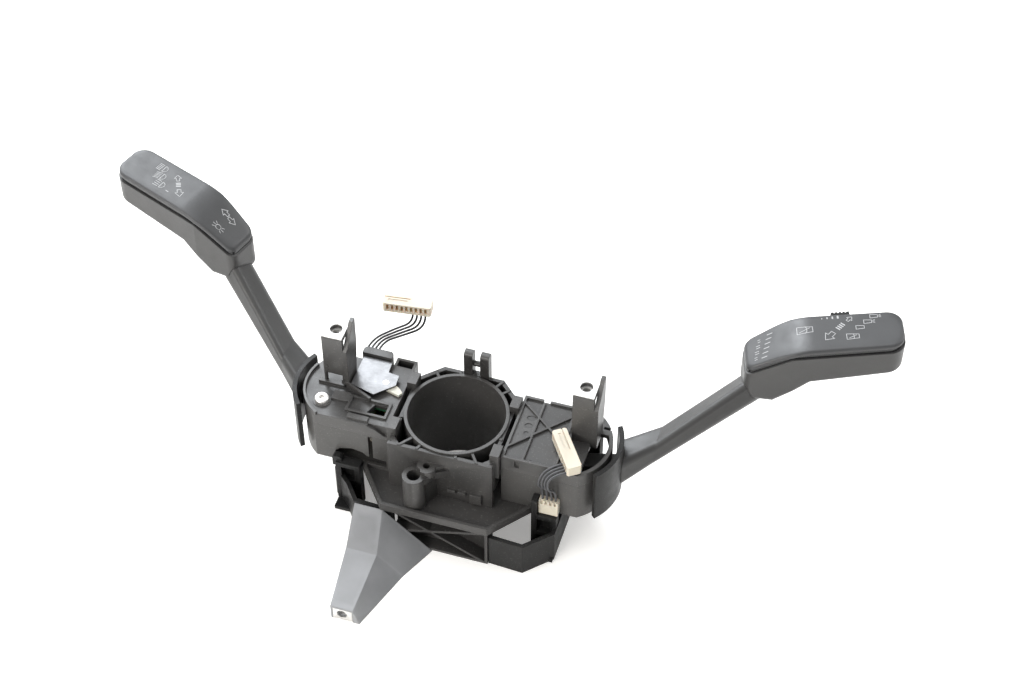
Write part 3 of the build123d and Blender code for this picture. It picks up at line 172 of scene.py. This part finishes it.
def worn_edges(tree):
    """1 on outer edges and 0 elsewhere."""
    geometry = tree.nodes.new("ShaderNodeNewGeometry")
    return span(tree, geometry.outputs["Pointiness"], 0.0, 1.0, 0.50, 0.58)


def plastic(name, color, roughness, grain=2600.0, grain_depth=0.35, edge_mm=0.4, lighter=1.5, dust=0.0):
    """Moulded plastic: spark-eroded grain, slightly paler edges and uneven sheen."""
    material, tree, shader = new_material(name, color, roughness)
    cloudy = noise(tree, CLOUDS, 4.0)
    pale = tuple(min(1.0, c * lighter + 0.004) for c in color)
    dark = tuple(c * CLOUD_DARK for c in color)
    base = mix(tree, span(tree, cloudy.outputs["Fac"], 0, 1), dark, color)
    base = mix(tree, worn_edges(tree), base, pale)
    if dust:
        speck = noise(tree, SPECKS, 2.0, 0.7)
        dusty = span(tree, speck.outputs["Fac"], 0, dust, 0.60, 0.72)
        base = mix(tree, dusty, base, DUST)
    tree.links.new(base, shader.inputs["Base Color"])
    uneven = noise(tree, SHEEN)
    sheen = span(tree, uneven.outputs["Fac"], roughness - SHEEN_SWING, roughness + SHEEN_SWING)
    tree.links.new(sheen, shader.inputs["Roughness"])
    fine = noise(tree, grain, 2.0, 0.6)
    bump(tree, shader, fine.outputs["Fac"], GRAIN_MM, grain_depth, edge_mm)
    return material


def metal(name, color, roughness):
    """Plated or ground steel with fine directional marks."""
    material, tree, shader = new_material(name, color, roughness, 1.0)
    coords = tree.nodes.new("ShaderNodeTexCoord")
    mapping = tree.nodes.new("ShaderNodeMapping")
    mapping.inputs["Scale"].default_value = (1.0, MARKS_STRETCH, 1.0)
    marks = tree.nodes.new("ShaderNodeTexNoise")
    marks.inputs["Scale"].default_value = MARKS
    marks.inputs["Detail"].default_value = 4.0
    tree.links.new(coords.outputs["Object"], mapping.inputs["Vector"])
    tree.links.new(mapping.outputs["Vector"], marks.inputs["Vector"])
    stained = noise(tree, STAINS, 4.0)
    dull = tuple(c * STAIN_DARK for c in color)
    base = mix(tree, span(tree, stained.outputs["Fac"], 0, 0.8), color, dull)
    tree.links.new(base, shader.inputs["Base Color"])
    uneven = span(tree, marks.outputs["Fac"], roughness - 0.08, roughness + 0.14)
    tree.links.new(uneven, shader.inputs["Roughness"])
    bump(tree, shader, marks.outputs["Fac"], MARKS_MM, MARKS_STRENGTH, METAL_EDGE_MM)
    return material


def set_input(material, socket, value):
    """Constant on a material's shader."""
    material.node_tree.nodes["Principled BSDF"].inputs[socket].default_value = value


MATERIALS = {
    "moulded_black": plastic("moulded_black", (0.031, 0.030, 0.029), 0.34, dust=0.12),
    "bracket_grey": plastic("bracket_grey", (0.225, 0.230, 0.238), 0.36, 1900.0, 0.5, 0.6, 1.2),
    "cover_black": plastic("cover_black", (0.044, 0.043, 0.042), 0.33, lighter=1.4, dust=0.12),
    "stalk_grey": plastic("stalk_grey", (0.036, 0.0355, 0.035), 0.40, 3600.0, 0.5, 0.8, 1.2),
    "fascia_grey": plastic("fascia_grey", (0.044, 0.045, 0.047), 0.40, 4200.0, 0.2, 0.6, 1.2),
    "gloss_black": plastic("gloss_black", (0.010, 0.010, 0.011), 0.12, 1200.0, 0.02, 0.3, 1.2),
    "zinc_steel": metal("zinc_steel", (0.90, 0.89, 0.87), 0.42),
    "plate_grey": metal("plate_grey", (0.21, 0.212, 0.218), 0.38),
    "spring_steel": metal("spring_steel", (0.60, 0.60, 0.61), 0.28),
    "brass": metal("brass", (0.78, 0.58, 0.28), 0.30),
    "tinned": metal("tinned", (0.66, 0.42, 0.22), 0.36),
    "white_nylon": plastic("white_nylon", (0.58, 0.51, 0.41), 0.45, 1500.0, 0.15, 0.25, 1.05),
    "wire_black": plastic("wire_black", (0.014, 0.014, 0.015), 0.38, 3000.0, 0.1, 0.1),
    "wire_grey": plastic("wire_grey", (0.045, 0.046, 0.050), 0.40, 3000.0, 0.1, 0.1),
    "natural_nylon": plastic("natural_nylon", (0.46, 0.43, 0.37), 0.40, 1500.0, 0.15, 0.25, 1.1),
    "board_green": plastic("board_green", (0.03, 0.13, 0.06), 0.35, 1200.0, 0.1, 0.1, 1.2),
}
HOUSING = plastic("housing_black", (0.040, 0.039, 0.0375), 0.34, lighter=1.4, dust=0.12)
# painted shade: a near-black copy of the black plastic, much darker than its other copies, that darkens the
# shaded cradle frame and dust shields, and the interval slider too
PAINTED_SHADE_BLACK = plastic("painted_shade_black", (0.011, 0.011, 0.011), 0.38, dust=0.08)
WHITE_MARK = plastic("white_mark", (0.38, 0.385, 0.39), 0.5, 3000.0, 0.05, 0.05, 1.0)
OWN_MATERIAL = {
    "left_switch_housing": HOUSING,
    "right_switch_housing": HOUSING,
    # the dust shields, cradle frame and interval slider get the near-black copy, which is painted shade
    "left_dust_shield": PAINTED_SHADE_BLACK,
    "right_dust_shield": PAINTED_SHADE_BLACK,
    "cradle_frame": PAINTED_SHADE_BLACK,
    "interval_slider": PAINTED_SHADE_BLACK,
    "right_wire_comb": MATERIALS["white_nylon"],
}
set_input(PAINTED_SHADE_BLACK, "Specular IOR Level", 0.15)
for dark in (HOUSING, MATERIALS["moulded_black"], MATERIALS["cover_black"]):
    set_input(dark, "Specular IOR Level", 0.4)
set_input(MATERIALS["white_nylon"], "Subsurface Weight", 0.08)
set_input(MATERIALS["natural_nylon"], "Subsurface Weight", 0.1)


def dress_nodes():
    """Every CAD node gets its slot's material, or one of its own."""
    for part in frame["record"]["subparts"]:
        target = nodes[part["node"]]
        target.data.materials.clear()
        target.data.materials.append(OWN_MATERIAL.get(part["node"], MATERIALS[part["material_slot"]]))


# ---------------------------------------------------------------- wires
# A route runs from the left wire guide or the right wire comb into its connector; k counts the wires.
WIRE_D = 1.2
LEFT_WIRES = tuple(
    ((-57.2 + 2.0 * k, 25.5, 2.5), (-57.2 + 2.0 * k, 33.0, 2.5), (-47.5 + 1.6 * k, 41.2 - 1.2 * k, 5.0),
     (-38.3 + 2.2 * k, 44.6 + 0.27 * k, 9.5 - 0.9 * k), (-38.3 + 2.2 * k, 44.6 + 0.27 * k, 17.0))
    for k in range(4)
)
RIGHT_WIRES = tuple(
    ((52.3 + 2.3 * k, -22.8, -21.5), (52.3 + 2.3 * k, -22.8, -13.0),
     (50.5 + 2.0 * k, -27.5 - 0.9 * k, -6.0),
     (53.24 + 1.062 * k, -22.44 - 1.575 * k, 2.0), (60.70 + 1.062 * k, -17.406 - 1.575 * k, 2.0))
    for k in range(4)
)


def route_length(curve):
    """Length of a curve's centreline, in metres."""
    bare = curve.data.copy()
    bare.bevel_depth = 0
    probe = bpy.data.objects.new("probe", bare)
    mesh = bpy.data.meshes.new_from_object(probe)
    points = [v.co.copy() for v in mesh.vertices]
    bpy.data.objects.remove(probe)
    return sum((b - a).length for a, b in zip(points, points[1:]))


def add_wire(side, number, points, slot):
    """Insulated wire through its route's points."""
    name = f"{side}_wire_{number}_insulation"
    data = bpy.data.curves.new(name, "CURVE")
    data.dimensions = "3D"
    data.bevel_depth = WIRE_D / 2 * MM
    data.bevel_resolution = 4
    data.resolution_u = 16
    spline = data.splines.new("NURBS")
    spline.points.add(len(points) - 1)
    for target, point in zip(spline.points, points):
        target.co = (point[0] * MM, point[1] * MM, point[2] * MM, 1)
    spline.order_u = 3
    spline.use_endpoint_u = True
    wire = bpy.data.objects.new(name, data)
    scene.collection.objects.link(wire)
    data.materials.append(MATERIALS[slot])
    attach(wire, "column_switch")
    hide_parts(f"{side}_wire_{number}")
    route_length(wire)


dress_nodes()
for number, points in enumerate(LEFT_WIRES, 1):
    add_wire("left", number, points, "wire_black")
for number, points in enumerate(RIGHT_WIRES, 1):
    add_wire("right", number, points, "wire_grey")


# ---------------------------------------------------------------- detent springs
SPRING_WIRE = 0.6                    # diameter of the wire
SPRING_TURNS = 3.5
TURN_STEPS = 24                      # rings of the mesh in one turn
WIRE_SIDES = 6                       # corners of the wire's section


def smooth_piece(name, mesh, material):
    """Smoothly shaded object made of a bmesh."""
    bmesh.ops.recalc_face_normals(mesh, faces=mesh.faces)
    data = bpy.data.meshes.new(name)
    mesh.to_mesh(data)
    mesh.free()
    data.polygons.foreach_set("use_smooth", [True] * len(data.polygons))
    data.materials.append(material)
    piece = bpy.data.objects.new(name, data)
    scene.collection.objects.link(piece)
    return piece


def add_spring(node):
    """Coil spring in the place of the spring node, between its plunger below and the barrel's end above."""
    corners = [nodes[node].matrix_world @ Vector(c) for c in nodes[node].bound_box]
    low = Vector([min(c[i] for c in corners) for i in range(3)])
    high = Vector([max(c[i] for c in corners) for i in range(3)])
    wire = SPRING_WIRE / 2 * MM
    radius = (high.y - low.y) / 2 - wire
    middle = (low + high) / 2
    steps = round(SPRING_TURNS * TURN_STEPS)
    mesh = bmesh.new()
    rings = []
    angles = [2 * math.pi * k / WIRE_SIDES for k in range(WIRE_SIDES)]
    for i in range(steps + 1):
        turn = 2 * math.pi * i / TURN_STEPS
        out = Vector((math.cos(turn), math.sin(turn), 0))
        z = low.z + wire + (high.z - low.z - 2 * wire) * i / steps
        centre = Vector((middle.x, middle.y, z)) + out * radius
        around = [centre + out * wire * math.cos(a) + Vector((0, 0, wire * math.sin(a))) for a in angles]
        rings.append([mesh.verts.new(point) for point in around])
    for first, second in zip(rings, rings[1:]):
        for k in range(WIRE_SIDES):
            j = (k + 1) % WIRE_SIDES
            mesh.faces.new((first[k], first[j], second[j], second[k]))
    mesh.faces.new(rings[0])
    mesh.faces.new(rings[-1])
    coil = smooth_piece(f"{node}_coil", mesh, MATERIALS["spring_steel"])
    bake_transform(coil)
    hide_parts(node)


add_spring("left_detent_spring")
add_spring("right_detent_spring")


# ---------------------------------------------------------------- face plates of the heads
# u runs along a head and v across it, in plan, from the bore's centre.
HEAD_TURN = math.radians(17.0)       # from +X to +u
HEAD_V = 10.5                        # centreline of the head
HEAD_U0, HEAD_UB, HEAD_U1 = 143.0, 165.5, 220.2                      # root, bend and tip
HEAD_ROOT_Z, HEAD_BEND_Z, HEAD_TIP_Z = 33.0, 48.0, 53.8              # top of the plate there
BEND_BLEND = 10.0                    # run of the rounded bend to each side of its middle
PLATE_T = 2.4                        # thickness
PLATE_R = 1.4                        # rounding of the plate's upper edge
PLATE_HALF_WIDTHS = ((143.3, 9.35), (165.5, 12.15), (219.4, 11.7))   # u and half the width
PLATE_CORNERS = (4.7, 7.7)           # plan radius at the root and at the tip
CORNER_STEPS = 8
EDGE_STEPS = (0.0, 0.06, 0.2, 0.45, 0.85, 1.4)   # mesh lines at these distances from the edge
INNER_STEPS = 6                      # mesh strips across the flat middle
FAR_STATIONS = (180.0, 190.0, 200.0, 207.0)      # mesh lines between the bend and the tip
SHARP_ANGLE = math.radians(40)


def head_top(u):
    """Height of the face plate along the head, rounded over its bend."""
    root_slope = (HEAD_BEND_Z - HEAD_ROOT_Z) / (HEAD_UB - HEAD_U0)
    tip_slope = (HEAD_TIP_Z - HEAD_BEND_Z) / (HEAD_U1 - HEAD_UB)
    run = u - HEAD_UB
    if run <= -BEND_BLEND:
        return HEAD_BEND_Z + root_slope * run
    if run >= BEND_BLEND:
        return HEAD_BEND_Z + tip_slope * run
    share = (run + BEND_BLEND) / (2 * BEND_BLEND)
    return HEAD_BEND_Z + root_slope * run + (tip_slope - root_slope) * BEND_BLEND * share * share


def head_point(side, u, v, lift):
    """Point over the face plate in world space; side is 1 on the right and -1 on the left."""
    x = u * math.cos(HEAD_TURN) - v * math.sin(HEAD_TURN)
    y = u * math.sin(HEAD_TURN) + v * math.cos(HEAD_TURN)
    return (side * x * MM, y * MM, (head_top(u) + lift) * MM)


def rounded_corner(before, corner, after, radius):
    """Points of the arc that replaces a corner."""
    corner = Vector(corner)
    a = (Vector(before) - corner).normalized()
    b = (Vector(after) - corner).normalized()
    half = a.angle(b) / 2
    centre = corner + (a + b).normalized() * (radius / math.sin(half))
    start = corner + a * (radius / math.tan(half)) - centre
    stop = corner + b * (radius / math.tan(half)) - centre
    turns = [start.slerp(stop, i / CORNER_STEPS) for i in range(CORNER_STEPS + 1)]
    return [centre + turn.normalized() * radius for turn in turns]


def plate_outline():
    """Half of the plate's plan, from the middle of its root to the middle of its tip."""
    root, bend, tip = PLATE_HALF_WIDTHS
    return ([Vector((root[0], 0.0))]
            + rounded_corner((root[0], 0.0), root, bend, PLATE_CORNERS[0])
            + [Vector(bend)]
            + rounded_corner(bend, tip, (tip[0], 0.0), PLATE_CORNERS[1])
            + [Vector((tip[0], 0.0))])


def edge_distance(outline, u, v):
    """Distance from a point of the plate to its outline."""
    point = Vector((u, abs(v)))
    nearest = 1e9
    for a, b in zip(outline, outline[1:]):
        run = b - a
        share = min(1.0, max(0.0, (point - a).dot(run) / run.length_squared))
        nearest = min(nearest, (point - a - run * share).length)
    return nearest


def half_width(outline, u):
    """Half of the plate's width at one place along it."""
    sides = outline[1:-1]
    for a, b in zip(sides, sides[1:]):
        if a.x <= u <= b.x:
            return a.y + (b.y - a.y) * (u - a.x) / max(1e-9, b.x - a.x)
    return sides[-1].y


def plate_stations(outline):
    """Places along the plate: close together at its ends, corners and bend."""
    u0, u1 = outline[0].x, outline[-1].x
    places = {round(p.x, 3) for p in outline}
    places |= {round(u0 + e, 3) for e in EDGE_STEPS} | {round(u1 - e, 3) for e in EDGE_STEPS}
    places |= {HEAD_UB + step for step in range(-int(BEND_BLEND), int(BEND_BLEND) + 1)}
    return sorted(places | set(FAR_STATIONS))


def plate_rows(outline):
    """Grid of the plate's (u, v), a row for each station, with points close together at the edge."""
    rows = []
    for u in plate_stations(outline):
        width = half_width(outline, u)
        inner = width - EDGE_STEPS[-1]
        near = [-width + e for e in EDGE_STEPS]
        middle = [inner * (2 * i / INNER_STEPS - 1) for i in range(1, INNER_STEPS)]
        rows.append([(u, v) for v in near + middle + [-v for v in reversed(near)]])
    return rows


def grid_rim(count, width):
    """Places round the edge of a grid, as pairs of row and column."""
    rim = [(i, 0) for i in range(count)]
    rim += [(count - 1, j) for j in range(1, width)]
    rim += [(i, width - 1) for i in range(count - 2, -1, -1)]
    return rim + [(0, j) for j in range(width - 2, 0, -1)]


def add_face_plate(side, body, node):
    """Face plate with a rounded upper edge that runs smoothly over the head's bend."""
    outline = plate_outline()
    rows = plate_rows(outline)
    mesh = bmesh.new()
    tops, lows = [], []
    for row in rows:
        top_row, low_row = [], []
        for u, v in row:
            off = PLATE_R - min(PLATE_R, edge_distance(outline, u, v))
            drop = PLATE_R - math.sqrt(max(0.0, PLATE_R ** 2 - off ** 2))
            top_row.append(mesh.verts.new(head_point(side, u, HEAD_V + v, -drop)))
            low_row.append(mesh.verts.new(head_point(side, u, HEAD_V + v, -PLATE_T)))
        tops.append(top_row)
        lows.append(low_row)
    for i in range(len(rows) - 1):
        for j in range(len(rows[0]) - 1):
            mesh.faces.new((tops[i][j], tops[i + 1][j], tops[i + 1][j + 1], tops[i][j + 1]))
            mesh.faces.new((lows[i][j], lows[i][j + 1], lows[i + 1][j + 1], lows[i + 1][j]))
    rim = grid_rim(len(rows), len(rows[0]))
    for (i, j), (k, m) in zip(rim, rim[1:] + rim[:1]):
        mesh.faces.new((tops[i][j], lows[i][j], lows[k][m], tops[k][m]))
    plate = smooth_piece(f"{node}_smooth", mesh, MATERIALS["fascia_grey"])
    plate.data.set_sharp_from_angle(angle=SHARP_ANGLE)
    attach(plate, body)
    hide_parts(node)


add_face_plate(-1, "turn_stalk", "left_stalk_fascia")
add_face_plate(1, "wipe_stalk", "right_stalk_fascia")


# ---------------------------------------------------------------- printed signs on the heads
INK = 0.04                           # thickness of the print
INK_GAP = 0.01                       # lift of the print over the plate
STROKE, FINE_STROKE, HAIR_STROKE = 0.34, 0.30, 0.28
STEP_STROKE, BOLD_STROKE, BAR_STROKE = 0.40, 0.45, 0.62
ARC_STEP = 18                        # about the degrees that one line of an arc spans
LAMP_R = 2.1                         # radius of a lamp's glass
RAY = 2.6                            # length of a lamp's ray
GLASS_TAPER = 0.36                   # half the height of a windscreen's narrow end, as a share of its height
PIECE = 0.8                          # longest straight piece of a stroke


class Print:
    """Flat printed shapes collected into one mesh."""

    def __init__(self, side):
        self.side = side
        self.verts = []
        self.faces = []

    def fill(self, points):
        """Filled outline with the print's thickness."""
        first, count = len(self.verts), len(points)
        for lift in (INK_GAP, INK_GAP + INK):
            self.verts += [head_point(self.side, u, v, lift) for u, v in points]
        area = sum(a[0] * b[1] - b[0] * a[1] for a, b in zip(points, points[1:] + points[:1]))
        order = list(range(count))
        if (area > 0) != (self.side > 0):
            order.reverse()
        self.faces.append([first + count + i for i in order])
        self.faces.append([first + i for i in reversed(order)])
        for i, j in zip(order, order[1:] + order[:1]):
            self.faces.append([first + i, first + j, first + count + j, first + count + i])

    def stroke(self, points, width=STROKE, closed=False):
        """Straight lines of one width through points, in short pieces that follow the plate."""
        ends = points[1:] + points[:1] if closed else points[1:]
        for (u0, v0), (u1, v1) in zip(points, ends):
            length = math.hypot(u1 - u0, v1 - v0)
            du, dv = (u1 - u0) / length * width / 2, (v1 - v0) / length * width / 2
            pieces = max(1, math.ceil(length / PIECE))
            for i in range(pieces):
                a, b = i / pieces, (i + 1) / pieces
                ua, va = u0 + (u1 - u0) * a, v0 + (v1 - v0) * a
                ub, vb = u0 + (u1 - u0) * b, v0 + (v1 - v0) * b
                start, stop = int(i == 0), int(i == pieces - 1)
                self.fill([
                    (ua - du * start - dv, va - dv * start + du),
                    (ua - du * start + dv, va - dv * start - du),
                    (ub + du * stop + dv, vb + dv * stop - du),
                    (ub + du * stop - dv, vb + dv * stop + du),
                ])

    def arc(self, centre, radius, start, stop, width=STROKE):
        """Part of a circle, its angles in degrees from the +u direction."""
        steps = max(4, round(abs(stop - start) / ARC_STEP))
        angles = [math.radians(start + (stop - start) * i / steps) for i in range(steps + 1)]
        rim = [(centre[0] + radius * math.cos(a), centre[1] + radius * math.sin(a)) for a in angles]
        self.stroke(rim, width)

    def lamp(self, u, v, rays=5, tilt=0.0):
        """Headlamp: D-shaped glass with rays towards the tip."""
        self.arc((u - 0.6, v), LAMP_R, 90, 270)
        self.stroke([(u - 0.6, v - LAMP_R), (u - 0.6, v + LAMP_R)])
        for i in range(rays):
            side = v + (i - (rays - 1) / 2) * 4.0 / max(1, rays - 1)
            self.stroke([(u + 0.6, side), (u + 0.6 + RAY, side + tilt)], FINE_STROKE)

    def arrow(self, u, v, angle, size):
        """Outlined arrow that points at an angle in degrees from +u."""
        c, d = math.cos(math.radians(angle)) * size, math.sin(math.radians(angle)) * size
        shape = ((1, 0), (0, 0.8), (0, 0.35), (-0.75, 0.35), (-0.75, -0.35), (0, -0.35), (0, -0.8))
        self.stroke([(u + a * c - b * d, v + a * d + b * c) for a, b in shape], FINE_STROKE, closed=True)

    def bars(self, u, v, angle, count=3, long=1.9, step=1.1):
        """Short solid bars across the line between two arrows."""
        c, d = math.cos(math.radians(angle)), math.sin(math.radians(angle))
        for i in range(count):
            along = (i - (count - 1) / 2) * step
            self.stroke([(u + along * c + long / 2 * d, v + along * d - long / 2 * c),
                         (u + along * c - long / 2 * d, v + along * d + long / 2 * c)], BAR_STROKE)

    def glass(self, u, v, width, height):
        """Windscreen outline that narrows towards the tip."""
        wide, narrow = height / 2, height * GLASS_TAPER
        self.stroke([(u - width / 2, v - wide), (u - width / 2, v + wide),
                     (u + width / 2, v + narrow), (u + width / 2, v - narrow)],
                    FINE_STROKE, closed=True)

    def finish(self, name):
        """Mesh object of everything that was drawn."""
        mesh = bpy.data.meshes.new(name)
        mesh.from_pydata(self.verts, [], self.faces)
        mesh.materials.append(WHITE_MARK)
        marks = bpy.data.objects.new(name, mesh)
        scene.collection.objects.link(marks)
        return marks


def left_marks():
    """Lamps, light switch and turn arrows."""
    ink = Print(-1)
    # three lamps and the mark beside them
    ink.lamp(199.6, 15.8)
    ink.lamp(197.0, 10.9, tilt=-0.9)
    ink.lamp(193.6, 6.1, rays=4)
    ink.stroke([(187.0, 4.6), (188.2, 4.6)], BOLD_STROKE)
    # two arrows with bars between them
    ink.arrow(189.0, 15.0, 47, 2.4)
    ink.bars(185.9, 11.7, 47)
    ink.arrow(182.0, 7.7, 227, 2.8)
    # turn signals
    ink.arrow(157.5, 14.9, 0, 2.4)
    ink.arrow(153.3, 14.1, 180, 2.4)
    # small lamp with rays to both sides
    ink.arc((155.1, 5.8), 1.3, 0, 360, FINE_STROKE)
    for turn in (-35, 0, 35):
        for sign in (1, -1):
            a = math.radians(turn)
            ink.stroke([(155.1 + sign * 1.9 * math.cos(a), 5.8 + 1.9 * math.sin(a)),
                        (155.1 + sign * 3.0 * math.cos(a), 5.8 + 3.0 * math.sin(a))], HAIR_STROKE)
    return ink.finish("left_head_marks")


def right_marks():
    """Wiper steps, screen, interval and washer."""
    ink = Print(1)
    # steps of the stalk
    for i in range(6):
        share = i / 5
        u, v = 155.3 - 3.4 * share, 17.3 - 13.4 * share
        ink.stroke([(u - 1.1, v), (u + 1.1, v)], STEP_STROKE)
    # signs beside the steps
    for i, size in enumerate((0.5, 0.8, 0.8, 0.5)):
        u, v = 150.2 - 0.7 * i, 15.4 - 3.5 * i
        ink.stroke([(u - size, v - 0.7), (u + size, v - 0.7)], FINE_STROKE)
        ink.stroke([(u - size, v + 0.7), (u + size, v + 0.7)], FINE_STROKE)
    # screen with a wiper
    ink.glass(171.6, 13.3, 7.6, 4.6)
    ink.stroke([(168.9, 12.0), (174.0, 14.4)], FINE_STROKE)
    ink.arc((169.2, 13.3), 3.4, -38, 38, FINE_STROKE)
    # growing marks along the interval slider
    for i in range(4):
        u = 180.4 + 2.6 * i
        ink.stroke([(u, 19.7), (u, 20.0 + 0.25 * i)], BOLD_STROKE + 0.14 * i)
    # two arrows with bars between them
    ink.arrow(183.4, 8.3, 226, 3.6)
    ink.bars(188.9, 14.0, 46, 4, 2.0, 1.25)
    ink.arrow(193.6, 18.4, 46, 2.0)
    # smaller screens: wiped, plain and washed
    ink.glass(194.3, 6.9, 6.0, 3.6)
    ink.stroke([(192.6, 6.0), (196.0, 7.7)], HAIR_STROKE)
    ink.arc((192.8, 6.9), 2.2, -38, 38, HAIR_STROKE)
    ink.glass(198.3, 12.6, 4.0, 2.4)
    for u, v in ((202.3, 16.0), (205.6, 19.4)):
        ink.glass(u, v, 3.8, 2.4)
        for k in (-1, 0, 1):
            ink.stroke([(u + 2.5, v + 0.6 * k), (u + 3.4, v + 0.9 * k)], HAIR_STROKE)
    return ink.finish("right_head_marks")


for body, make_marks in (("turn_stalk", left_marks), ("wipe_stalk", right_marks)):
    marks = make_marks()
    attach(marks, body)


# ---------------------------------------------------------------- stage and light
FLOOR_Z = -60.0
FLOOR_HALF = 3000.0                  # half of the floor's side


def add_floor():
    """Pale floor that keeps the part's shadow."""
    mesh = bpy.data.meshes.new("floor")
    half, z = FLOOR_HALF * MM, FLOOR_Z * MM
    corners = [(-half, -half, z), (half, -half, z), (half, half, z), (-half, half, z)]
    mesh.from_pydata(corners, [], [(0, 1, 2, 3)])
    floor = bpy.data.objects.new("floor", mesh)
    scene.collection.objects.link(floor)
    material, tree, shader = new_material("floor", (0.90, 0.89, 0.875), 0.7)
    tree.links.new(mix(tree, noise(tree, 3.0).outputs["Fac"], (0.90, 0.89, 0.87), (0.91, 0.905, 0.89)),
                   shader.inputs["Base Color"])
    glow = tree.nodes.new("ShaderNodeEmission")
    glow.inputs["Color"].default_value = (1, 0.99, 0.97, 1)
    glow.inputs["Strength"].default_value = 0.30
    path = tree.nodes.new("ShaderNodeLightPath")
    total = tree.nodes.new("ShaderNodeAddShader")
    chosen = tree.nodes.new("ShaderNodeMixShader")
    tree.links.new(shader.outputs[0], total.inputs[0])
    tree.links.new(glow.outputs[0], total.inputs[1])
    tree.links.new(path.outputs["Is Camera Ray"], chosen.inputs["Fac"])
    tree.links.new(shader.outputs[0], chosen.inputs[1])
    tree.links.new(total.outputs[0], chosen.inputs[2])
    tree.links.new(chosen.outputs[0], tree.nodes["Material Output"].inputs["Surface"])
    mesh.materials.append(material)


# name, place and aim in metres, width and length in metres, watts and colour
LAMPS = (
    ("top_soft_box", (-0.25, 0.15, 1.25), (0, 0, 0), (1.1, 0.8), 6.0, (1, 1, 1)),
    ("far_window", (-1.7, 2.4, 2.8), (0.1, 0, 0), (1.3, 1.3), 62.0, (0.92, 0.96, 1.0)),
    ("window", (-1.1, 0.95, 0.92), (0.12, 0, 0), (1.5, 1.0), 26.0, (0.92, 0.96, 1.0)),
    ("rear_soft_box", (0.95, 0.80, 0.90), (0, 0, 0), (1.0, 0.6), 8.0, (1, 1, 1)),
    ("front_soft_box", (-0.7, -1.2, 0.65), (0, 0, 0), (1.2, 0.6), 18.0, (1.0, 0.97, 0.93)),
)


def add_lamp(name, place, aim, size, watts, color):
    """Soft box that points at a place."""
    data = bpy.data.lights.new(name, "AREA")
    data.shape = "RECTANGLE"
    data.size, data.size_y = size
    data.energy = watts
    data.color = color
    lamp = bpy.data.objects.new(name, data)
    lamp.location = place
    lamp.rotation_euler = (Vector(aim) - Vector(place)).to_track_quat("-Z", "Y").to_euler()
    scene.collection.objects.link(lamp)


def add_world():
    """Even white surroundings."""
    world = bpy.data.worlds.new("world")
    scene.world = world
    world.use_nodes = True
    back = world.node_tree.nodes["Background"]
    back.inputs["Color"].default_value = (1, 1, 1, 1)
    back.inputs["Strength"].default_value = 0.60


add_floor()
add_world()
for lamp in LAMPS:
    add_lamp(*lamp)

scene.view_settings.view_transform = "Standard"
